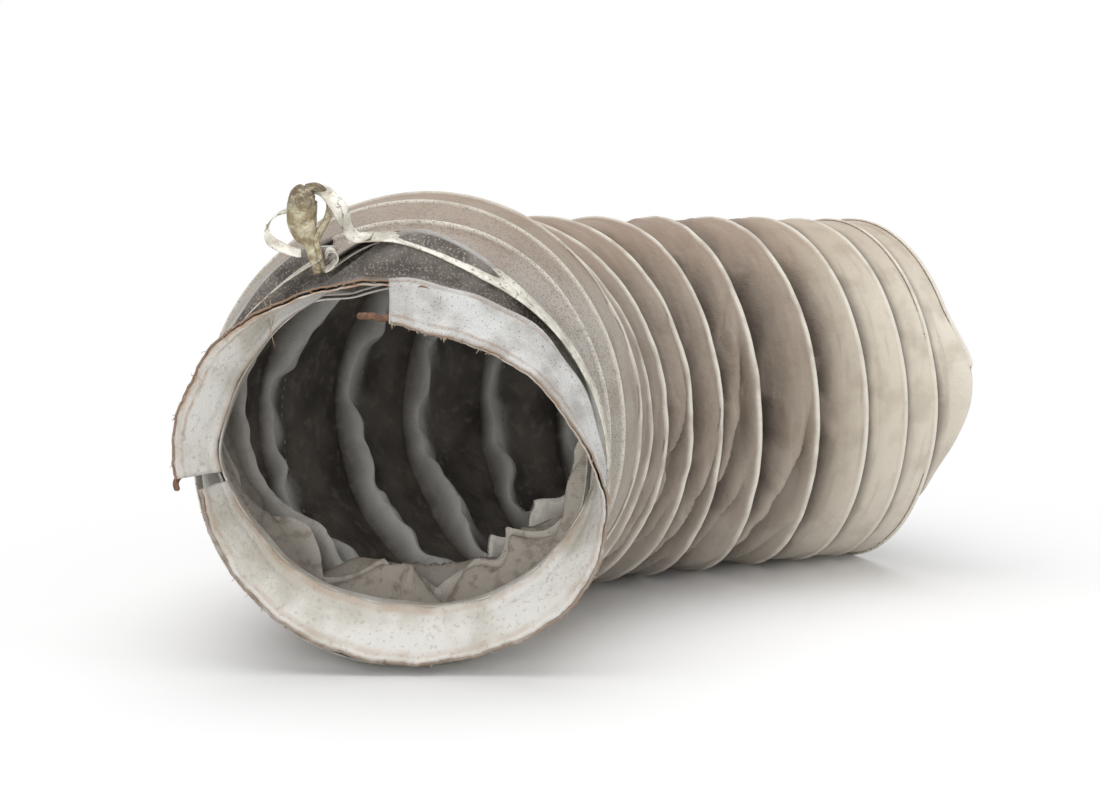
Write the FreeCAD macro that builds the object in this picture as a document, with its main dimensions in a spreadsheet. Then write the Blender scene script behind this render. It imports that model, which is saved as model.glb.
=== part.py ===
import FreeCAD, Part
import math
import os
import Sketcher

# Flexible air duct: a wire helix laid between two plies of coated glass-cloth tape,
# with an old strap clamp on its front end that is wound up on a split pin.
# The part frame: the origin is the centre of the front mouth, which faces -Y.
# The duct runs along +Y, then bends towards +X. +Z is up. Millimetres.

doc = FreeCAD.newDocument("FlexibleAirDuct")

sizes = {
    # the air path
    "bore_radius": 50.0,
    "straight_in": 30.0,
    "bend_radius": 123.0,
    "bend_angle": 65.0,
    "axis_lift": 2.0,
    "lift_length": 5.0,
    # the wall, from the inside out
    "liner_thickness": 0.6,
    "wire_diameter": 1.6,
    "thread_diameter": 0.5,
    "ply_thickness": 0.8,
    "ply_gap": 0.2,
    "rib_height": 4.1,
    "stand_flat_depth": 0.5,
    # the rim turn at the front mouth
    "rim_length": 11.5,
    "rim_liner_thickness": 0.4,
    "rim_ply_thickness": 0.6,
    "rim_ply_gap": 0.1,
    "rim_bead_width": 4.6,
    "rim_tear_angle": 8.0,
    "rim_wire_turn": 262.0,
    # how long each stretch of the duct is on its centre line
    "rim_gap": 0.5,
    "neck_band": 10.0,
    "neck_length": 24.0,
    "bend_zone_length": 34.0,
    "short_length": 14.0,
    "stretch_zone_length": 28.0,
    "rear_length": 35.0,
    "cut_gap": 0.6,
    # the strap clamp and its key
    "strap_width": 8.0,
    "strap_thickness": 0.35,
    "strap_clearance": 0.15,
    "strap_offset": 1.3,
    "strap_gap_angle": 5.0,
    "pin_angle": 111.0,
    "pin_wire_diameter": 3.4,
    "pin_slot": 0.3,
    "pin_leg_length": 12.0,
    "pin_eye_radius": 4.2,
    "pin_rim_clearance": 0.8,
}

sheet = doc.addObject("Spreadsheet::Sheet", "Sizes")
for row, (alias, value) in enumerate(sizes.items(), start=1):
    sheet.set("A%d" % row, alias)
    sheet.set("B%d" % row, "%g" % value)
    sheet.setAlias("B%d" % row, alias)
doc.recompute()


def size(alias):
    return float(sheet.get(alias))


BORE = size("bore_radius")
STRAIGHT_IN = size("straight_in")
BEND_RADIUS = size("bend_radius")
BEND = math.radians(size("bend_angle"))
LIFT = size("axis_lift")
GAP = size("cut_gap")
UP = FreeCAD.Vector(0, 0, 1)

LINER_OUT = BORE + size("liner_thickness")
WIRE_RADIUS = LINER_OUT + size("ply_gap") + size("wire_diameter") / 2
VALLEY_IN = WIRE_RADIUS + size("wire_diameter") / 2 + size("ply_gap")
VALLEY = VALLEY_IN + size("ply_thickness")
CREST = VALLEY + size("rib_height")
FLOOR = LIFT - CREST + size("stand_flat_depth")
NECK = size("rim_length") + size("rim_gap")

# one rib: the share of its pitch where the crest starts and ends, and where the valley starts
CREST_FROM = 0.30
CREST_TO = 0.72
VALLEY_FROM = 0.92

# the stretches of the duct behind the neck: name, sheet name of its length, number of wire turns
STRETCHES = [
    ("front_bend", "bend_zone_length", 2),
    ("front_middle", "short_length", 1),
    ("lift_bend", "bend_zone_length", 2),
    ("centre_turn", "short_length", 1),
    ("rear_bend", "bend_zone_length", 2),
    ("rear_middle", "short_length", 1),
    ("stretch_zone", "stretch_zone_length", 2),
    ("rear_cuff", "rear_length", 3),
]


def centre_at(s):
    """Centre of the air path at the distance s from the mouth, and its heading from +Y."""
    lift_from = NECK + size("neck_band")
    t = min(max((s - lift_from) / size("lift_length"), 0.0), 1.0)
    z = LIFT * t * t * (3 - 2 * t)
    if s <= STRAIGHT_IN:
        return FreeCAD.Vector(0, s, z), 0.0
    arc_end = STRAIGHT_IN + BEND_RADIUS * BEND
    turn = (min(s, arc_end) - STRAIGHT_IN) / BEND_RADIUS
    x = BEND_RADIUS * (1 - math.cos(turn))
    y = STRAIGHT_IN + BEND_RADIUS * math.sin(turn)
    rest = max(s - arc_end, 0.0)
    return FreeCAD.Vector(x + rest * math.sin(turn), y + rest * math.cos(turn), z), turn


def ring(s, radius):
    """A circle round the air path. Its seam always lies straight above the centre."""
    centre, turn = centre_at(s)
    circle = Part.Circle()
    circle.Center = centre
    circle.Axis = FreeCAD.Vector(math.sin(turn), math.cos(turn), 0)
    circle.XAxis = UP
    circle.Radius = radius
    return Part.Wire(circle.toShape())


def hollow(stations, thickness):
    """A thin wall of revolution along the path, through (distance, outer radius) stations."""
    outer = Part.makeLoft([ring(s, r) for s, r in stations], True, True)
    inner_stations = [(s, r - thickness) for s, r in stations]
    inner_stations[0] = (stations[0][0] - 0.5, inner_stations[0][1])
    inner_stations[-1] = (stations[-1][0] + 0.5, inner_stations[-1][1])
    inner = Part.makeLoft([ring(s, r) for s, r in inner_stations], True, True)
    return outer.cut(inner)


def stand_box():
    """Everything below the plane that the duct stands on."""
    reach = 700.0
    corner = FreeCAD.Vector(-reach / 2, -reach / 2, FLOOR - 40)
    return Part.makeBox(reach, reach, 40, corner)


def arc_between(start, tangent, end):
    """The arc that leaves start along tangent and ends at end."""
    chord = end - start
    along = FreeCAD.Vector(chord).normalize()
    side = tangent - along * tangent.dot(along)
    middle = (start + end) * 0.5
    if side.Length > 1e-7:
        half_angle = math.acos(min(1.0, tangent.dot(along))) / 2
        middle = middle + side.normalize() * (chord.Length / 2 * math.tan(half_angle))
    return Part.Arc(start, middle, end).toShape()


def biarc(start, start_dir, end, end_dir):
    """Two arcs that join two points and keep the direction at both."""
    v = end - start
    both = start_dir + end_dir
    k = 2 * (1 - start_dir.dot(end_dir))
    root = math.sqrt(v.dot(both) ** 2 + k * v.dot(v))
    d = (root - v.dot(both)) / k
    joint = (start + end + (start_dir - end_dir) * d) * 0.5
    first = arc_between(start, start_dir, joint)
    last = arc_between(end, end_dir * -1, joint)
    return [first, last]


def coil_point(s, start, pitch, radius, phase):
    """A point on the coil round the air path, clockwise as it goes away from the mouth."""
    centre, turn = centre_at(s)
    angle = phase + 2 * math.pi * (s - start) / pitch
    side = FreeCAD.Vector(math.cos(turn), -math.sin(turn), 0)
    return centre + side * (radius * math.sin(angle)) + UP * (radius * math.cos(angle))


def coil(start, end, pitch, radius, diameter, phase):
    """A round wire wound along the path: biarcs of an eighth of a turn, swept as one tube."""
    first = start + GAP / 2
    last = end - GAP / 2
    steps = max(2, int(round((last - first) / pitch * 8)))
    stations = [first + (last - first) * i / steps for i in range(steps + 1)]
    points = [coil_point(s, start, pitch, radius, phase) for s in stations]
    small = 0.001
    heads = []
    for s in stations:
        ahead = coil_point(s + small, start, pitch, radius, phase)
        behind = coil_point(s - small, start, pitch, radius, phase)
        heads.append((ahead - behind).normalize())
    edges = []
    for i in range(steps):
        edges += biarc(points[i], heads[i], points[i + 1], heads[i + 1])
    path = Part.Wire(Part.__sortEdges__(edges))
    profile = Part.Wire(Part.Circle(points[0], heads[0], diameter / 2).toShape())
    tube = path.makePipeShell([profile], True, False)
    if (end - start) / pitch > 1.1:
        gap = coil_gap(start, end, pitch, radius, diameter, phase)
        print("least gap of the coil to itself: %.2f" % gap)
    return tube


def coil_gap(start, end, pitch, radius, diameter, phase):
    """The least free space between neighbouring turns of a coil, measured on points."""
    count = 48
    least = 1e9
    total = int((end - start - GAP - pitch) / pitch * count)
    for i in range(total):
        s = start + GAP / 2 + i * pitch / count
        here = coil_point(s, start, pitch, radius, phase)
        for shift in range(-4, 5):
            other = s + pitch + shift * pitch / count
            if other < end:
                away = coil_point(other, start, pitch, radius, phase)
                least = min(least, here.distanceToPoint(away))
    return least - diameter


def add_shape(label, shape, placement=FreeCAD.Placement()):
    """A document object of its own for a piece that only shape functions can make."""
    item = doc.addObject("Part::Feature", label)
    item.Label = label
    item.Shape = shape
    item.Placement = placement
    return item


def origin_plane(body, role):
    for feature in body.Origin.OriginFeatures:
        if feature.Role == role:
            return feature
    raise ValueError(role)


def turned_body(label, corners, angle_expression=None):
    """A body turned round the Y axis. Each corner is (radius, its rule, distance, its rule)."""
    body = doc.addObject("PartDesign::Body", label)
    body.Label = label
    sketch = body.newObject("Sketcher::SketchObject", label + "_profile")
    sketch.AttachmentSupport = [(origin_plane(body, "XY_Plane"), "")]
    sketch.MapMode = "FlatFace"
    count = len(corners)
    for i in range(count):
        here = corners[i]
        there = corners[(i + 1) % count]
        start = FreeCAD.Vector(here[0], here[2], 0)
        end = FreeCAD.Vector(there[0], there[2], 0)
        sketch.addGeometry(Part.LineSegment(start, end), False)
    for i in range(count):
        sketch.addConstraint(Sketcher.Constraint("Coincident", i, 2, (i + 1) % count, 1))
    for i, (radius, radius_rule, along, along_rule) in enumerate(corners):
        row = sketch.addConstraint(Sketcher.Constraint("DistanceX", -1, 1, i, 1, radius))
        sketch.setExpression("Constraints[%d]" % row, radius_rule)
        if abs(along) < 1e-6:
            sketch.addConstraint(Sketcher.Constraint("PointOnObject", i, 1, -1))
        else:
            row = sketch.addConstraint(Sketcher.Constraint("DistanceY", -1, 1, i, 1, along))
            sketch.setExpression("Constraints[%d]" % row, along_rule)
    turned = body.newObject("PartDesign::Revolution", label + "_turned")
    turned.Profile = sketch
    turned.ReferenceAxis = (sketch, ["V_Axis"])
    turned.Angle = 360.0
    if angle_expression:
        turned.setExpression("Angle", angle_expression)
    sketch.Visibility = False
    body.Tip = turned
    return body, sketch, turned


def place_on_rear_axis(item, s, s_rule):
    """Puts an item made along +Y on the straight rear run, at the distance s."""
    centre, turn = centre_at(s)
    item.Placement = FreeCAD.Placement(centre, FreeCAD.Rotation(UP, -math.degrees(turn)))
    arc = "Sizes.bend_radius * Sizes.bend_angle * pi / 180"
    rest = "(%s - Sizes.straight_in - %s)" % (s_rule, arc)
    sine = "sin(Sizes.bend_angle * 1 deg)"
    cosine = "cos(Sizes.bend_angle * 1 deg)"
    item.setExpression("Placement.Base.x", "Sizes.bend_radius * (1 - %s) + %s * %s" % (cosine, rest, sine))
    item.setExpression("Placement.Base.y",
                       "Sizes.straight_in + Sizes.bend_radius * %s + %s * %s" % (sine, rest, cosine))
    item.setExpression("Placement.Base.z", "Sizes.axis_lift")


# sheet rules for the radii, so that the sketches follow the same sizes as the lofts
LINER_OUT_RULE = "Sizes.bore_radius + Sizes.liner_thickness"
VALLEY_IN_RULE = LINER_OUT_RULE + " + 2 * Sizes.ply_gap + Sizes.wire_diameter"
VALLEY_RULE = VALLEY_IN_RULE + " + Sizes.ply_thickness"
CREST_RULE = VALLEY_RULE + " + Sizes.rib_height"
CREST_IN_RULE = VALLEY_IN_RULE + " + Sizes.rib_height"
NECK_RULE = "Sizes.rim_length + Sizes.rim_gap"
NECK_END_RULE = NECK_RULE + " + Sizes.neck_length"

final = []

# the torn turn at the mouth: two plies with the broken front piece of wire between them
tear = size("rim_tear_angle")
full_turn = "360 - Sizes.rim_tear_angle"
rim_end = size("rim_length")
rim_liner_out = BORE + size("rim_liner_thickness")
body, sketch, turned = turned_body("front_rim_inner_ply", [
    (BORE, "Sizes.bore_radius", 0.0, ""),
    (rim_liner_out, "Sizes.bore_radius + Sizes.rim_liner_thickness", 0.0, ""),
    (rim_liner_out, "Sizes.bore_radius + Sizes.rim_liner_thickness", rim_end, "Sizes.rim_length"),
    (BORE, "Sizes.bore_radius", rim_end, "Sizes.rim_length"),
], full_turn)
final.append(body)

band_in = rim_liner_out + size("rim_ply_gap")
band_out = band_in + size("rim_ply_thickness")
bead_in = band_in + size("wire_diameter") + size("rim_ply_gap")
bead_out = bead_in + size("rim_ply_thickness")
band_in_rule = "Sizes.bore_radius + Sizes.rim_liner_thickness + Sizes.rim_ply_gap"
band_out_rule = band_in_rule + " + Sizes.rim_ply_thickness"
bead_in_rule = band_in_rule + " + Sizes.wire_diameter + Sizes.rim_ply_gap"
bead_out_rule = bead_in_rule + " + Sizes.rim_ply_thickness"
bead_from = rim_end - size("rim_bead_width")
bead_from_rule = "Sizes.rim_length - Sizes.rim_bead_width"
slope = size("rim_ply_thickness") * 2
slope_rule = "Sizes.rim_ply_thickness * 2"
body, sketch, turned = turned_body("front_rim_outer_ply", [
    (band_in, band_in_rule, 0.0, ""),
    (band_out, band_out_rule, 0.0, ""),
    (band_out, band_out_rule, bead_from, bead_from_rule),
    (bead_out, bead_out_rule, bead_from + slope, bead_from_rule + " + " + slope_rule),
    (bead_out, bead_out_rule, rim_end, "Sizes.rim_length"),
    (bead_in, bead_in_rule, rim_end, "Sizes.rim_length"),
    (bead_in, bead_in_rule, bead_from + slope, bead_from_rule + " + " + slope_rule),
    (band_in, band_in_rule, bead_from, bead_from_rule),
], full_turn)
final.append(body)

# both plies are torn on the left, so their open gap is turned to the 9 o'clock side
tear_turn = FreeCAD.Rotation(FreeCAD.Vector(0, 1, 0), 180 - tear / 2)
for body in final:
    body.Placement = FreeCAD.Placement(FreeCAD.Vector(), tear_turn)
    body.setExpression("Placement.Rotation.Angle", "180 - Sizes.rim_tear_angle / 2")

# the broken wire of the front turn starts at the top, where its end sticks out
rim_wire_radius = band_in + size("wire_diameter") / 2
rim_wire_y = bead_from + slope + size("wire_diameter") / 2 + 0.4
sweep = math.radians(size("rim_wire_turn"))


def rim_wire_point(angle):
    return FreeCAD.Vector(rim_wire_radius * math.sin(angle), rim_wire_y, rim_wire_radius * math.cos(angle))


rim_arc = Part.Arc(rim_wire_point(-0.15), rim_wire_point(sweep / 2), rim_wire_point(sweep - 0.15)).toShape()
rim_start = Part.Circle(rim_wire_point(-0.15), FreeCAD.Vector(math.cos(-0.15), 0, -math.sin(-0.15)),
                        size("wire_diameter") / 2)
rim_tube = Part.Wire(rim_arc).makePipeShell([Part.Wire(rim_start.toShape())], True, False)
final.append(add_shape("front_rim_wire", rim_tube))

# the neck: a plain band under the clamp, then the first full rib
neck_end = NECK + size("neck_length")
band_end = NECK + size("neck_band")
rib_pitch = neck_end - band_end - 1.0
neck_stations = [
    (NECK, VALLEY),
    (band_end, VALLEY),
    (band_end + 1.0 + CREST_FROM * rib_pitch, CREST),
    (band_end + 1.0 + CREST_TO * rib_pitch, CREST),
    (band_end + 1.0 + VALLEY_FROM * rib_pitch, VALLEY),
    (neck_end - GAP / 2, VALLEY),
]
neck_ply = hollow(neck_stations, size("ply_thickness")).cut(stand_box())
final.append(add_shape("neck_outer_ply", neck_ply))
liner_stations = [(NECK, LINER_OUT), (band_end, LINER_OUT)]
liner_stations += [(band_end + i * size("lift_length") / 8, LINER_OUT) for i in range(1, 9)]
liner_stations.append((neck_end - GAP / 2, LINER_OUT))
final.append(add_shape("neck_liner", hollow(liner_stations, size("liner_thickness"))))
neck_turns = 2
neck_pitch = size("neck_length") / neck_turns
neck_coil = coil(NECK, neck_end, neck_pitch, WIRE_RADIUS, size("wire_diameter"), 0.0)
final.append(add_shape("neck_wire", neck_coil))
final.append(add_shape("neck_thread",
                       coil(NECK, neck_end, neck_pitch, WIRE_RADIUS, size("thread_diameter"), math.pi)))

# the stretches behind the neck: curved ones are lofts, straight ones are turned bodies
arc_end = STRAIGHT_IN + BEND_RADIUS * BEND
start = neck_end
start_rule = NECK_END_RULE
for name, length_name, turns in STRETCHES:
    length = size(length_name)
    end = start + length
    pitch = length / turns
    if start < arc_end:
        stations = [(start + GAP / 2, VALLEY)]
        for i in range(turns):
            foot = start + i * pitch
            stations.append((foot + CREST_FROM * pitch, CREST))
            stations.append((foot + CREST_TO * pitch, CREST))
            stations.append((foot + VALLEY_FROM * pitch, VALLEY))
            if i < turns - 1:
                stations.append((foot + pitch, VALLEY))
        stations.append((end - GAP / 2, VALLEY))
        ply = hollow(stations, size("ply_thickness")).cut(stand_box())
        final.append(add_shape(name + "_outer_ply", ply))
        liner_steps = 4 * turns
        step = (length - GAP) / liner_steps
        smooth = [(start + GAP / 2 + step * i, LINER_OUT) for i in range(liner_steps + 1)]
        final.append(add_shape(name + "_liner", hollow(smooth, size("liner_thickness"))))
    else:
        foot = (length - GAP) / turns
        foot_rule = "(Sizes.%s - Sizes.cut_gap) / %d" % (length_name, turns)
        corners = []
        for radius, rule, share in (
            (VALLEY, VALLEY_RULE, 0.0), (CREST, CREST_RULE, CREST_FROM), (CREST, CREST_RULE, CREST_TO),
            (VALLEY, VALLEY_RULE, VALLEY_FROM), (VALLEY, VALLEY_RULE, 1.0),
            (VALLEY_IN, VALLEY_IN_RULE, 1.0), (VALLEY_IN, VALLEY_IN_RULE, VALLEY_FROM),
            (VALLEY_IN + size("rib_height"), CREST_IN_RULE, CREST_TO),
            (VALLEY_IN + size("rib_height"), CREST_IN_RULE, CREST_FROM), (VALLEY_IN, VALLEY_IN_RULE, 0.0),
        ):
            corners.append((radius, rule, share * foot, "%g * %s" % (share, foot_rule)))
        body, sketch, turned = turned_body(name + "_turned_ply", corners)
        if turns > 1:
            pattern = body.newObject("PartDesign::LinearPattern", name + "_ribs")
            pattern.Originals = [turned]
            pattern.Direction = (sketch, ["V_Axis"])
            pattern.Length = foot * (turns - 1)
            pattern.setExpression("Length", "%s * %d" % (foot_rule, turns - 1))
            pattern.Occurrences = turns
            body.Tip = pattern
        at_rule = "(%s + Sizes.cut_gap / 2)" % start_rule
        place_on_rear_axis(body, start + GAP / 2, at_rule)
        below = doc.addObject("Part::Box", name + "_stand_plane")
        below.Length = 400
        below.Width = 400
        below.Height = 40
        below.Placement.Base = FreeCAD.Vector(-50, -50, FLOOR - 40)
        below.setExpression("Placement.Base.z",
                            "Sizes.axis_lift - (%s) + Sizes.stand_flat_depth - 40" % CREST_RULE)
        ply = doc.addObject("Part::Cut", name + "_outer_ply")
        ply.Label = name + "_outer_ply"
        ply.Base = body
        ply.Tool = below
        final.append(ply)
        tube_length = length - GAP
        tube_rule = "Sizes.%s - Sizes.cut_gap" % length_name
        liner, sketch, turned = turned_body(name + "_liner", [
            (BORE, "Sizes.bore_radius", 0.0, ""),
            (LINER_OUT, LINER_OUT_RULE, 0.0, ""),
            (LINER_OUT, LINER_OUT_RULE, tube_length, tube_rule),
            (BORE, "Sizes.bore_radius", tube_length, tube_rule),
        ])
        place_on_rear_axis(liner, start + GAP / 2, at_rule)
        final.append(liner)
    wire = coil(start, end, pitch, WIRE_RADIUS, size("wire_diameter"), 0.0)
    final.append(add_shape(name + "_wire", wire))
    thread = coil(start, end, pitch, WIRE_RADIUS, size("thread_diameter"), math.pi)
    final.append(add_shape(name + "_thread", thread))
    start = end
    start_rule = "%s + Sizes.%s" % (start_rule, length_name)

# the strap: a thin band round the neck with a gap where its ends go up into the split pin
strap_in = VALLEY + size("strap_clearance")
strap_out = strap_in + size("strap_thickness")
strap_in_rule = VALLEY_RULE + " + Sizes.strap_clearance"
strap_out_rule = strap_in_rule + " + Sizes.strap_thickness"
strap_from = NECK + size("strap_offset")
strap_from_rule = NECK_RULE + " + Sizes.strap_offset"
strap_to = strap_from + size("strap_width")
strap_to_rule = strap_from_rule + " + Sizes.strap_width"
body, sketch, turned = turned_body("clamp_strap", [
    (strap_in, strap_in_rule, strap_from, strap_from_rule),
    (strap_out, strap_out_rule, strap_from, strap_from_rule),
    (strap_out, strap_out_rule, strap_to, strap_to_rule),
    (strap_in, strap_in_rule, strap_to, strap_to_rule),
], "360 - Sizes.strap_gap_angle")
strap_turn = size("pin_angle") + size("strap_gap_angle") / 2
body.Placement = FreeCAD.Placement(FreeCAD.Vector(), FreeCAD.Rotation(FreeCAD.Vector(0, 1, 0), -strap_turn))
body.setExpression("Placement.Rotation.Angle", "Sizes.pin_angle + Sizes.strap_gap_angle / 2")
final.append(body)

# the split pin: one half-round wire, two flat sides facing, bent round into an eye
pin_r = size("pin_wire_diameter") / 2
slot = size("pin_slot") / 2
foot_z = strap_out + size("pin_rim_clearance")
leg_top = foot_z + size("pin_leg_length")
eye = size("pin_eye_radius")
eye_wire_r = pin_r * 0.62


def half_round(side):
    """Half of a round bar, its flat face towards the slot, from the foot to the leg top."""
    bar = Part.makeCylinder(pin_r, leg_top - foot_z, FreeCAD.Vector(0, 0, foot_z), UP)
    block = Part.makeBox(pin_r * 2, pin_r * 4, leg_top - foot_z + 2,
                         FreeCAD.Vector(slot if side > 0 else -slot - pin_r * 2, -pin_r * 2, foot_z - 1))
    return bar.common(block)


eye_wire = Part.makeTorus(eye, eye_wire_r, FreeCAD.Vector(0, 0, leg_top + eye), FreeCAD.Vector(0, 1, 0))
pin = eye_wire.fuse([half_round(1), half_round(-1)])
pin_place = FreeCAD.Placement(FreeCAD.Vector(0, strap_from + size("strap_width") / 2, 0),
                              FreeCAD.Rotation(FreeCAD.Vector(0, 1, 0), 90 - size("pin_angle")))
final.append(add_shape("split_pin", pin.Solids[0], pin_place))

doc.recompute()

os.makedirs("parts", exist_ok=True)
for item in doc.Objects:
    if "Invalid" in item.State or "Error" in item.State:
        raise ValueError("%s is in state %s" % (item.Label, item.State))
for item in final:
    shape = item.Shape
    if shape.isNull() or not shape.isValid():
        raise ValueError("%s has no valid shape" % item.Label)
    shape.exportStep("parts/%s.step" % item.Label)
    box = shape.BoundBox
    print("%-26s solids %d volume %9.1f  x %6.1f %6.1f  y %6.1f %6.1f  z %6.1f %6.1f" % (
        item.Label, len(shape.Solids), shape.Volume,
        box.XMin, box.XMax, box.YMin, box.YMax, box.ZMin, box.ZMax))
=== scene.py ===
# %% [markdown]
# # A worn flexible air duct
# This lesson builds a short heating duct: a steel wire wound as a helix between two plies of
# coated cloth tape, with an old strap clamp on its front end. First the imported CAD model is
# loaded. It gives the frame and the bodies that move.

# %% Load the imported model
import math
from collections import namedtuple
import bpy
import numpy as np
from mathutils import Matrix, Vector


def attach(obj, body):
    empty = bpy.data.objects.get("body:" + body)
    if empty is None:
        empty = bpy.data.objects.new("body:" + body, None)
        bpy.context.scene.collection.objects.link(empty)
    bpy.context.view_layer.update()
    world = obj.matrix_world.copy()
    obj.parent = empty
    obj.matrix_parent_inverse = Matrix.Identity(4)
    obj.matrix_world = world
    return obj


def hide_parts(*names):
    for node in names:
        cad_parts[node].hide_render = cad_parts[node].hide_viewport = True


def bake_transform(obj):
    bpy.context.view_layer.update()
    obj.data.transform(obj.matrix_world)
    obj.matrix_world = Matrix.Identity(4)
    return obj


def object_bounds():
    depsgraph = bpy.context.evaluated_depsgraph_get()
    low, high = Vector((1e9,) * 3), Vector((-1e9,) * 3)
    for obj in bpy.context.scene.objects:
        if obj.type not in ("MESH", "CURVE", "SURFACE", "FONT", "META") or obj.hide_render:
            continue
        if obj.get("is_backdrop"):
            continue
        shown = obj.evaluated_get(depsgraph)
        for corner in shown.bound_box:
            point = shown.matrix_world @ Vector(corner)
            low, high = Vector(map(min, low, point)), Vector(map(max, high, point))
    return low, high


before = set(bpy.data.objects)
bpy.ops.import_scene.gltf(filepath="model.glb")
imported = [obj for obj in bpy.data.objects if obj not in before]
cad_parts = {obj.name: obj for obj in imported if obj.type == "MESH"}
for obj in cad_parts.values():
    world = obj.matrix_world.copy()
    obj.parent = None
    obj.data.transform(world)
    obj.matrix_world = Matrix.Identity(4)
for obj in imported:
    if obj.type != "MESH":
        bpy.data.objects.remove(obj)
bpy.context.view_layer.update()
MM = 0.001

# %% [markdown]
# ## The camera
# The duct stands on a table and is seen from just in front of its mouth, a little from above.
# A long lens keeps the mouth nearly round. The camera looks straight along +Y and is tilted
# down, so its place, its tilt and its lens are the only three values that matter.

# %% Camera
PICTURE_WIDTH = 1100
PICTURE_HEIGHT = 800
CAMERA_TILT = math.radians(6.3)


def new_object(name, data):
    """An object for a mesh, a lamp or a camera, put into the scene."""
    thing = bpy.data.objects.new(name, data)
    bpy.context.collection.objects.link(thing)
    return thing


camera_data = bpy.data.cameras.new("duct camera")
camera_data.sensor_width = 36
camera_data.lens = 56.75
camera_data.clip_start = 0.01
camera = new_object("duct camera", camera_data)
camera.location = (36.67 * MM, -426.5 * MM, 63.5 * MM)
camera.rotation_euler = (math.radians(90) - CAMERA_TILT, 0, 0)
bpy.context.scene.camera = camera
print("camera at", [round(v, 3) for v in camera.location])

# %% [markdown]
# ## Formulas in node trees
# A helix of cloth follows a rule, so Geometry Nodes can make it. Long formulas are hard to
# read as single nodes, so this small class lets a formula be written with + - * and /.
# Each operation adds one Math node to the tree.


# %% Numbers that live in a node tree
def join(tree, value, socket):
    """Links a node's output to a socket, or types a plain value into it."""
    if isinstance(value, Num):
        value = value.socket
    if isinstance(value, bpy.types.NodeSocket):
        tree.links.new(value, socket)
    else:
        socket.default_value = value


def fill(tree, node, values):
    """Joins each value to the node's input of that name or number."""
    for label, value in values.items():
        join(tree, value, node.inputs[label])


def add_node(tree, kind, values, **settings):
    """A new node. Its settings come first, because some of them change its inputs."""
    node = tree.nodes.new(kind)
    for setting, choice in settings.items():
        setattr(node, setting, choice)
    fill(tree, node, values)
    return node


class Num:
    """A number inside a node tree."""

    def __init__(self, tree, socket):
        self.tree = tree
        self.socket = socket

    def do(self, operation, *others):
        node = self.tree.nodes.new("ShaderNodeMath")
        node.operation = operation
        for value, socket in zip((self,) + others, node.inputs):
            join(self.tree, value, socket)
        return Num(self.tree, node.outputs[0])

    def __add__(self, other):
        return self.do("ADD", other)

    def __sub__(self, other):
        return self.do("SUBTRACT", other)

    def __mul__(self, other):
        return self.do("MULTIPLY", other)

    def __truediv__(self, other):
        return self.do("DIVIDE", other)

    def __rsub__(self, other):
        return (self * -1.0) + other

    __radd__ = __add__
    __rmul__ = __mul__

    def sin(self):
        return self.do("SINE")

    def cos(self):
        return self.do("COSINE")

    def at_least(self, low):
        return self.do("MAXIMUM", low)

    def at_most(self, high):
        return self.do("MINIMUM", high)

    def ramp(self, start, end, smooth=True):
        """0 before start, 1 after end."""
        node = add_node(self.tree, "ShaderNodeMapRange",
                        {"Value": self, "From Min": start, "From Max": end},
                        interpolation_type="SMOOTHSTEP" if smooth else "LINEAR")
        return Num(self.tree, node.outputs["Result"])

    def hill(self, centre, width):
        """A round hill, 1 high at centre and 0 beyond centre plus or minus width."""
        away = (self - centre).do("ABSOLUTE")
        return 1.0 - away.ramp(0.0, width)


def vector(tree, x, y, z):
    return add_node(tree, "ShaderNodeCombineXYZ", {"X": x, "Y": y, "Z": z}).outputs[0]


def noise(tree, place, detail):
    """Smooth noise from 0 to 1."""
    node = add_node(tree, "ShaderNodeTexNoise", {"Vector": place, "Scale": 1.0, "Detail": detail})
    return Num(tree, node.outputs[0])


def ring_noise(angle, size, shift, detail=1.0):
    """Noise that closes round the duct. size sets how fine it is, shift moves it on."""
    return noise(angle.tree, vector(angle.tree, angle.sin() * size, angle.cos() * size, shift), detail)


print("formula helper ready")

# %% [markdown]
# ## The duct's own rule
# The real duct was wound turn by turn. Every place on it has a turn number, which says how
# many times the wire has gone round so far, and an angle, clockwise from the top as seen from
# the mouth. Tables say how far along the centre line a turn lies, how large its ridge is, and
# how deep the fold behind the ridge is. Two more tables raise the top of the first turns, where
# the clamp pulled them up, and press in their right side. All turns stand on the same table,
# so a larger ring has a higher centre.

# %% Tables of the winding, in millimetres
TURNS = 16.0
FAR_END_TURN = 15.21
BODY_RADIUS = 57
DEEPEST_FOLD = 6.4
ALONG = [(0, 0), (1, 12), (2, 24), (3, 36), (4, 46), (5, 56), (5.5, 62), (6.5, 91), (7.5, 113),
         (8.5, 137), (9.5, 159), (10.5, 181), (11.5, 201), (12.5, 218), (13.5, 232),
         (FAR_END_TURN, 249), (16, 257)]
RIDGE = [(0, 52), (2, 52), (3, 57.4), (4, 60), (5, 61.2), (5.6, 60.2), (6.2, 58.6), (7, 57.8),
         (8, 57.5), (15, BODY_RADIUS), (16, BODY_RADIUS)]
FOLD = [(0, 1.4), (3, 1.4), (4, 2.2), (5.5, 3.8), (6.5, DEEPEST_FOLD), (11, DEEPEST_FOLD),
        (12, 2.8), (13, 1.4), (16, 1.1)]
CROWN = [(0, 8.5), (2, 8.5), (2.35, 4.0), (2.8, 0), (16, 0)]
CROWN_SHARPNESS = 10
PINCH = [(0, 2), (2, 3), (3, 6), (4, 5.5), (5, 2), (6, 0), (16, 0)]
STRAIGHT_IN = 30.0
BEND_RADIUS = 123.0
BEND_END = STRAIGHT_IN + BEND_RADIUS * math.radians(65.0)
TABLE_Z = -55.0


def table_value(table, turn):
    return np.interp(turn, [x for x, y in table], [y for x, y in table])


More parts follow.
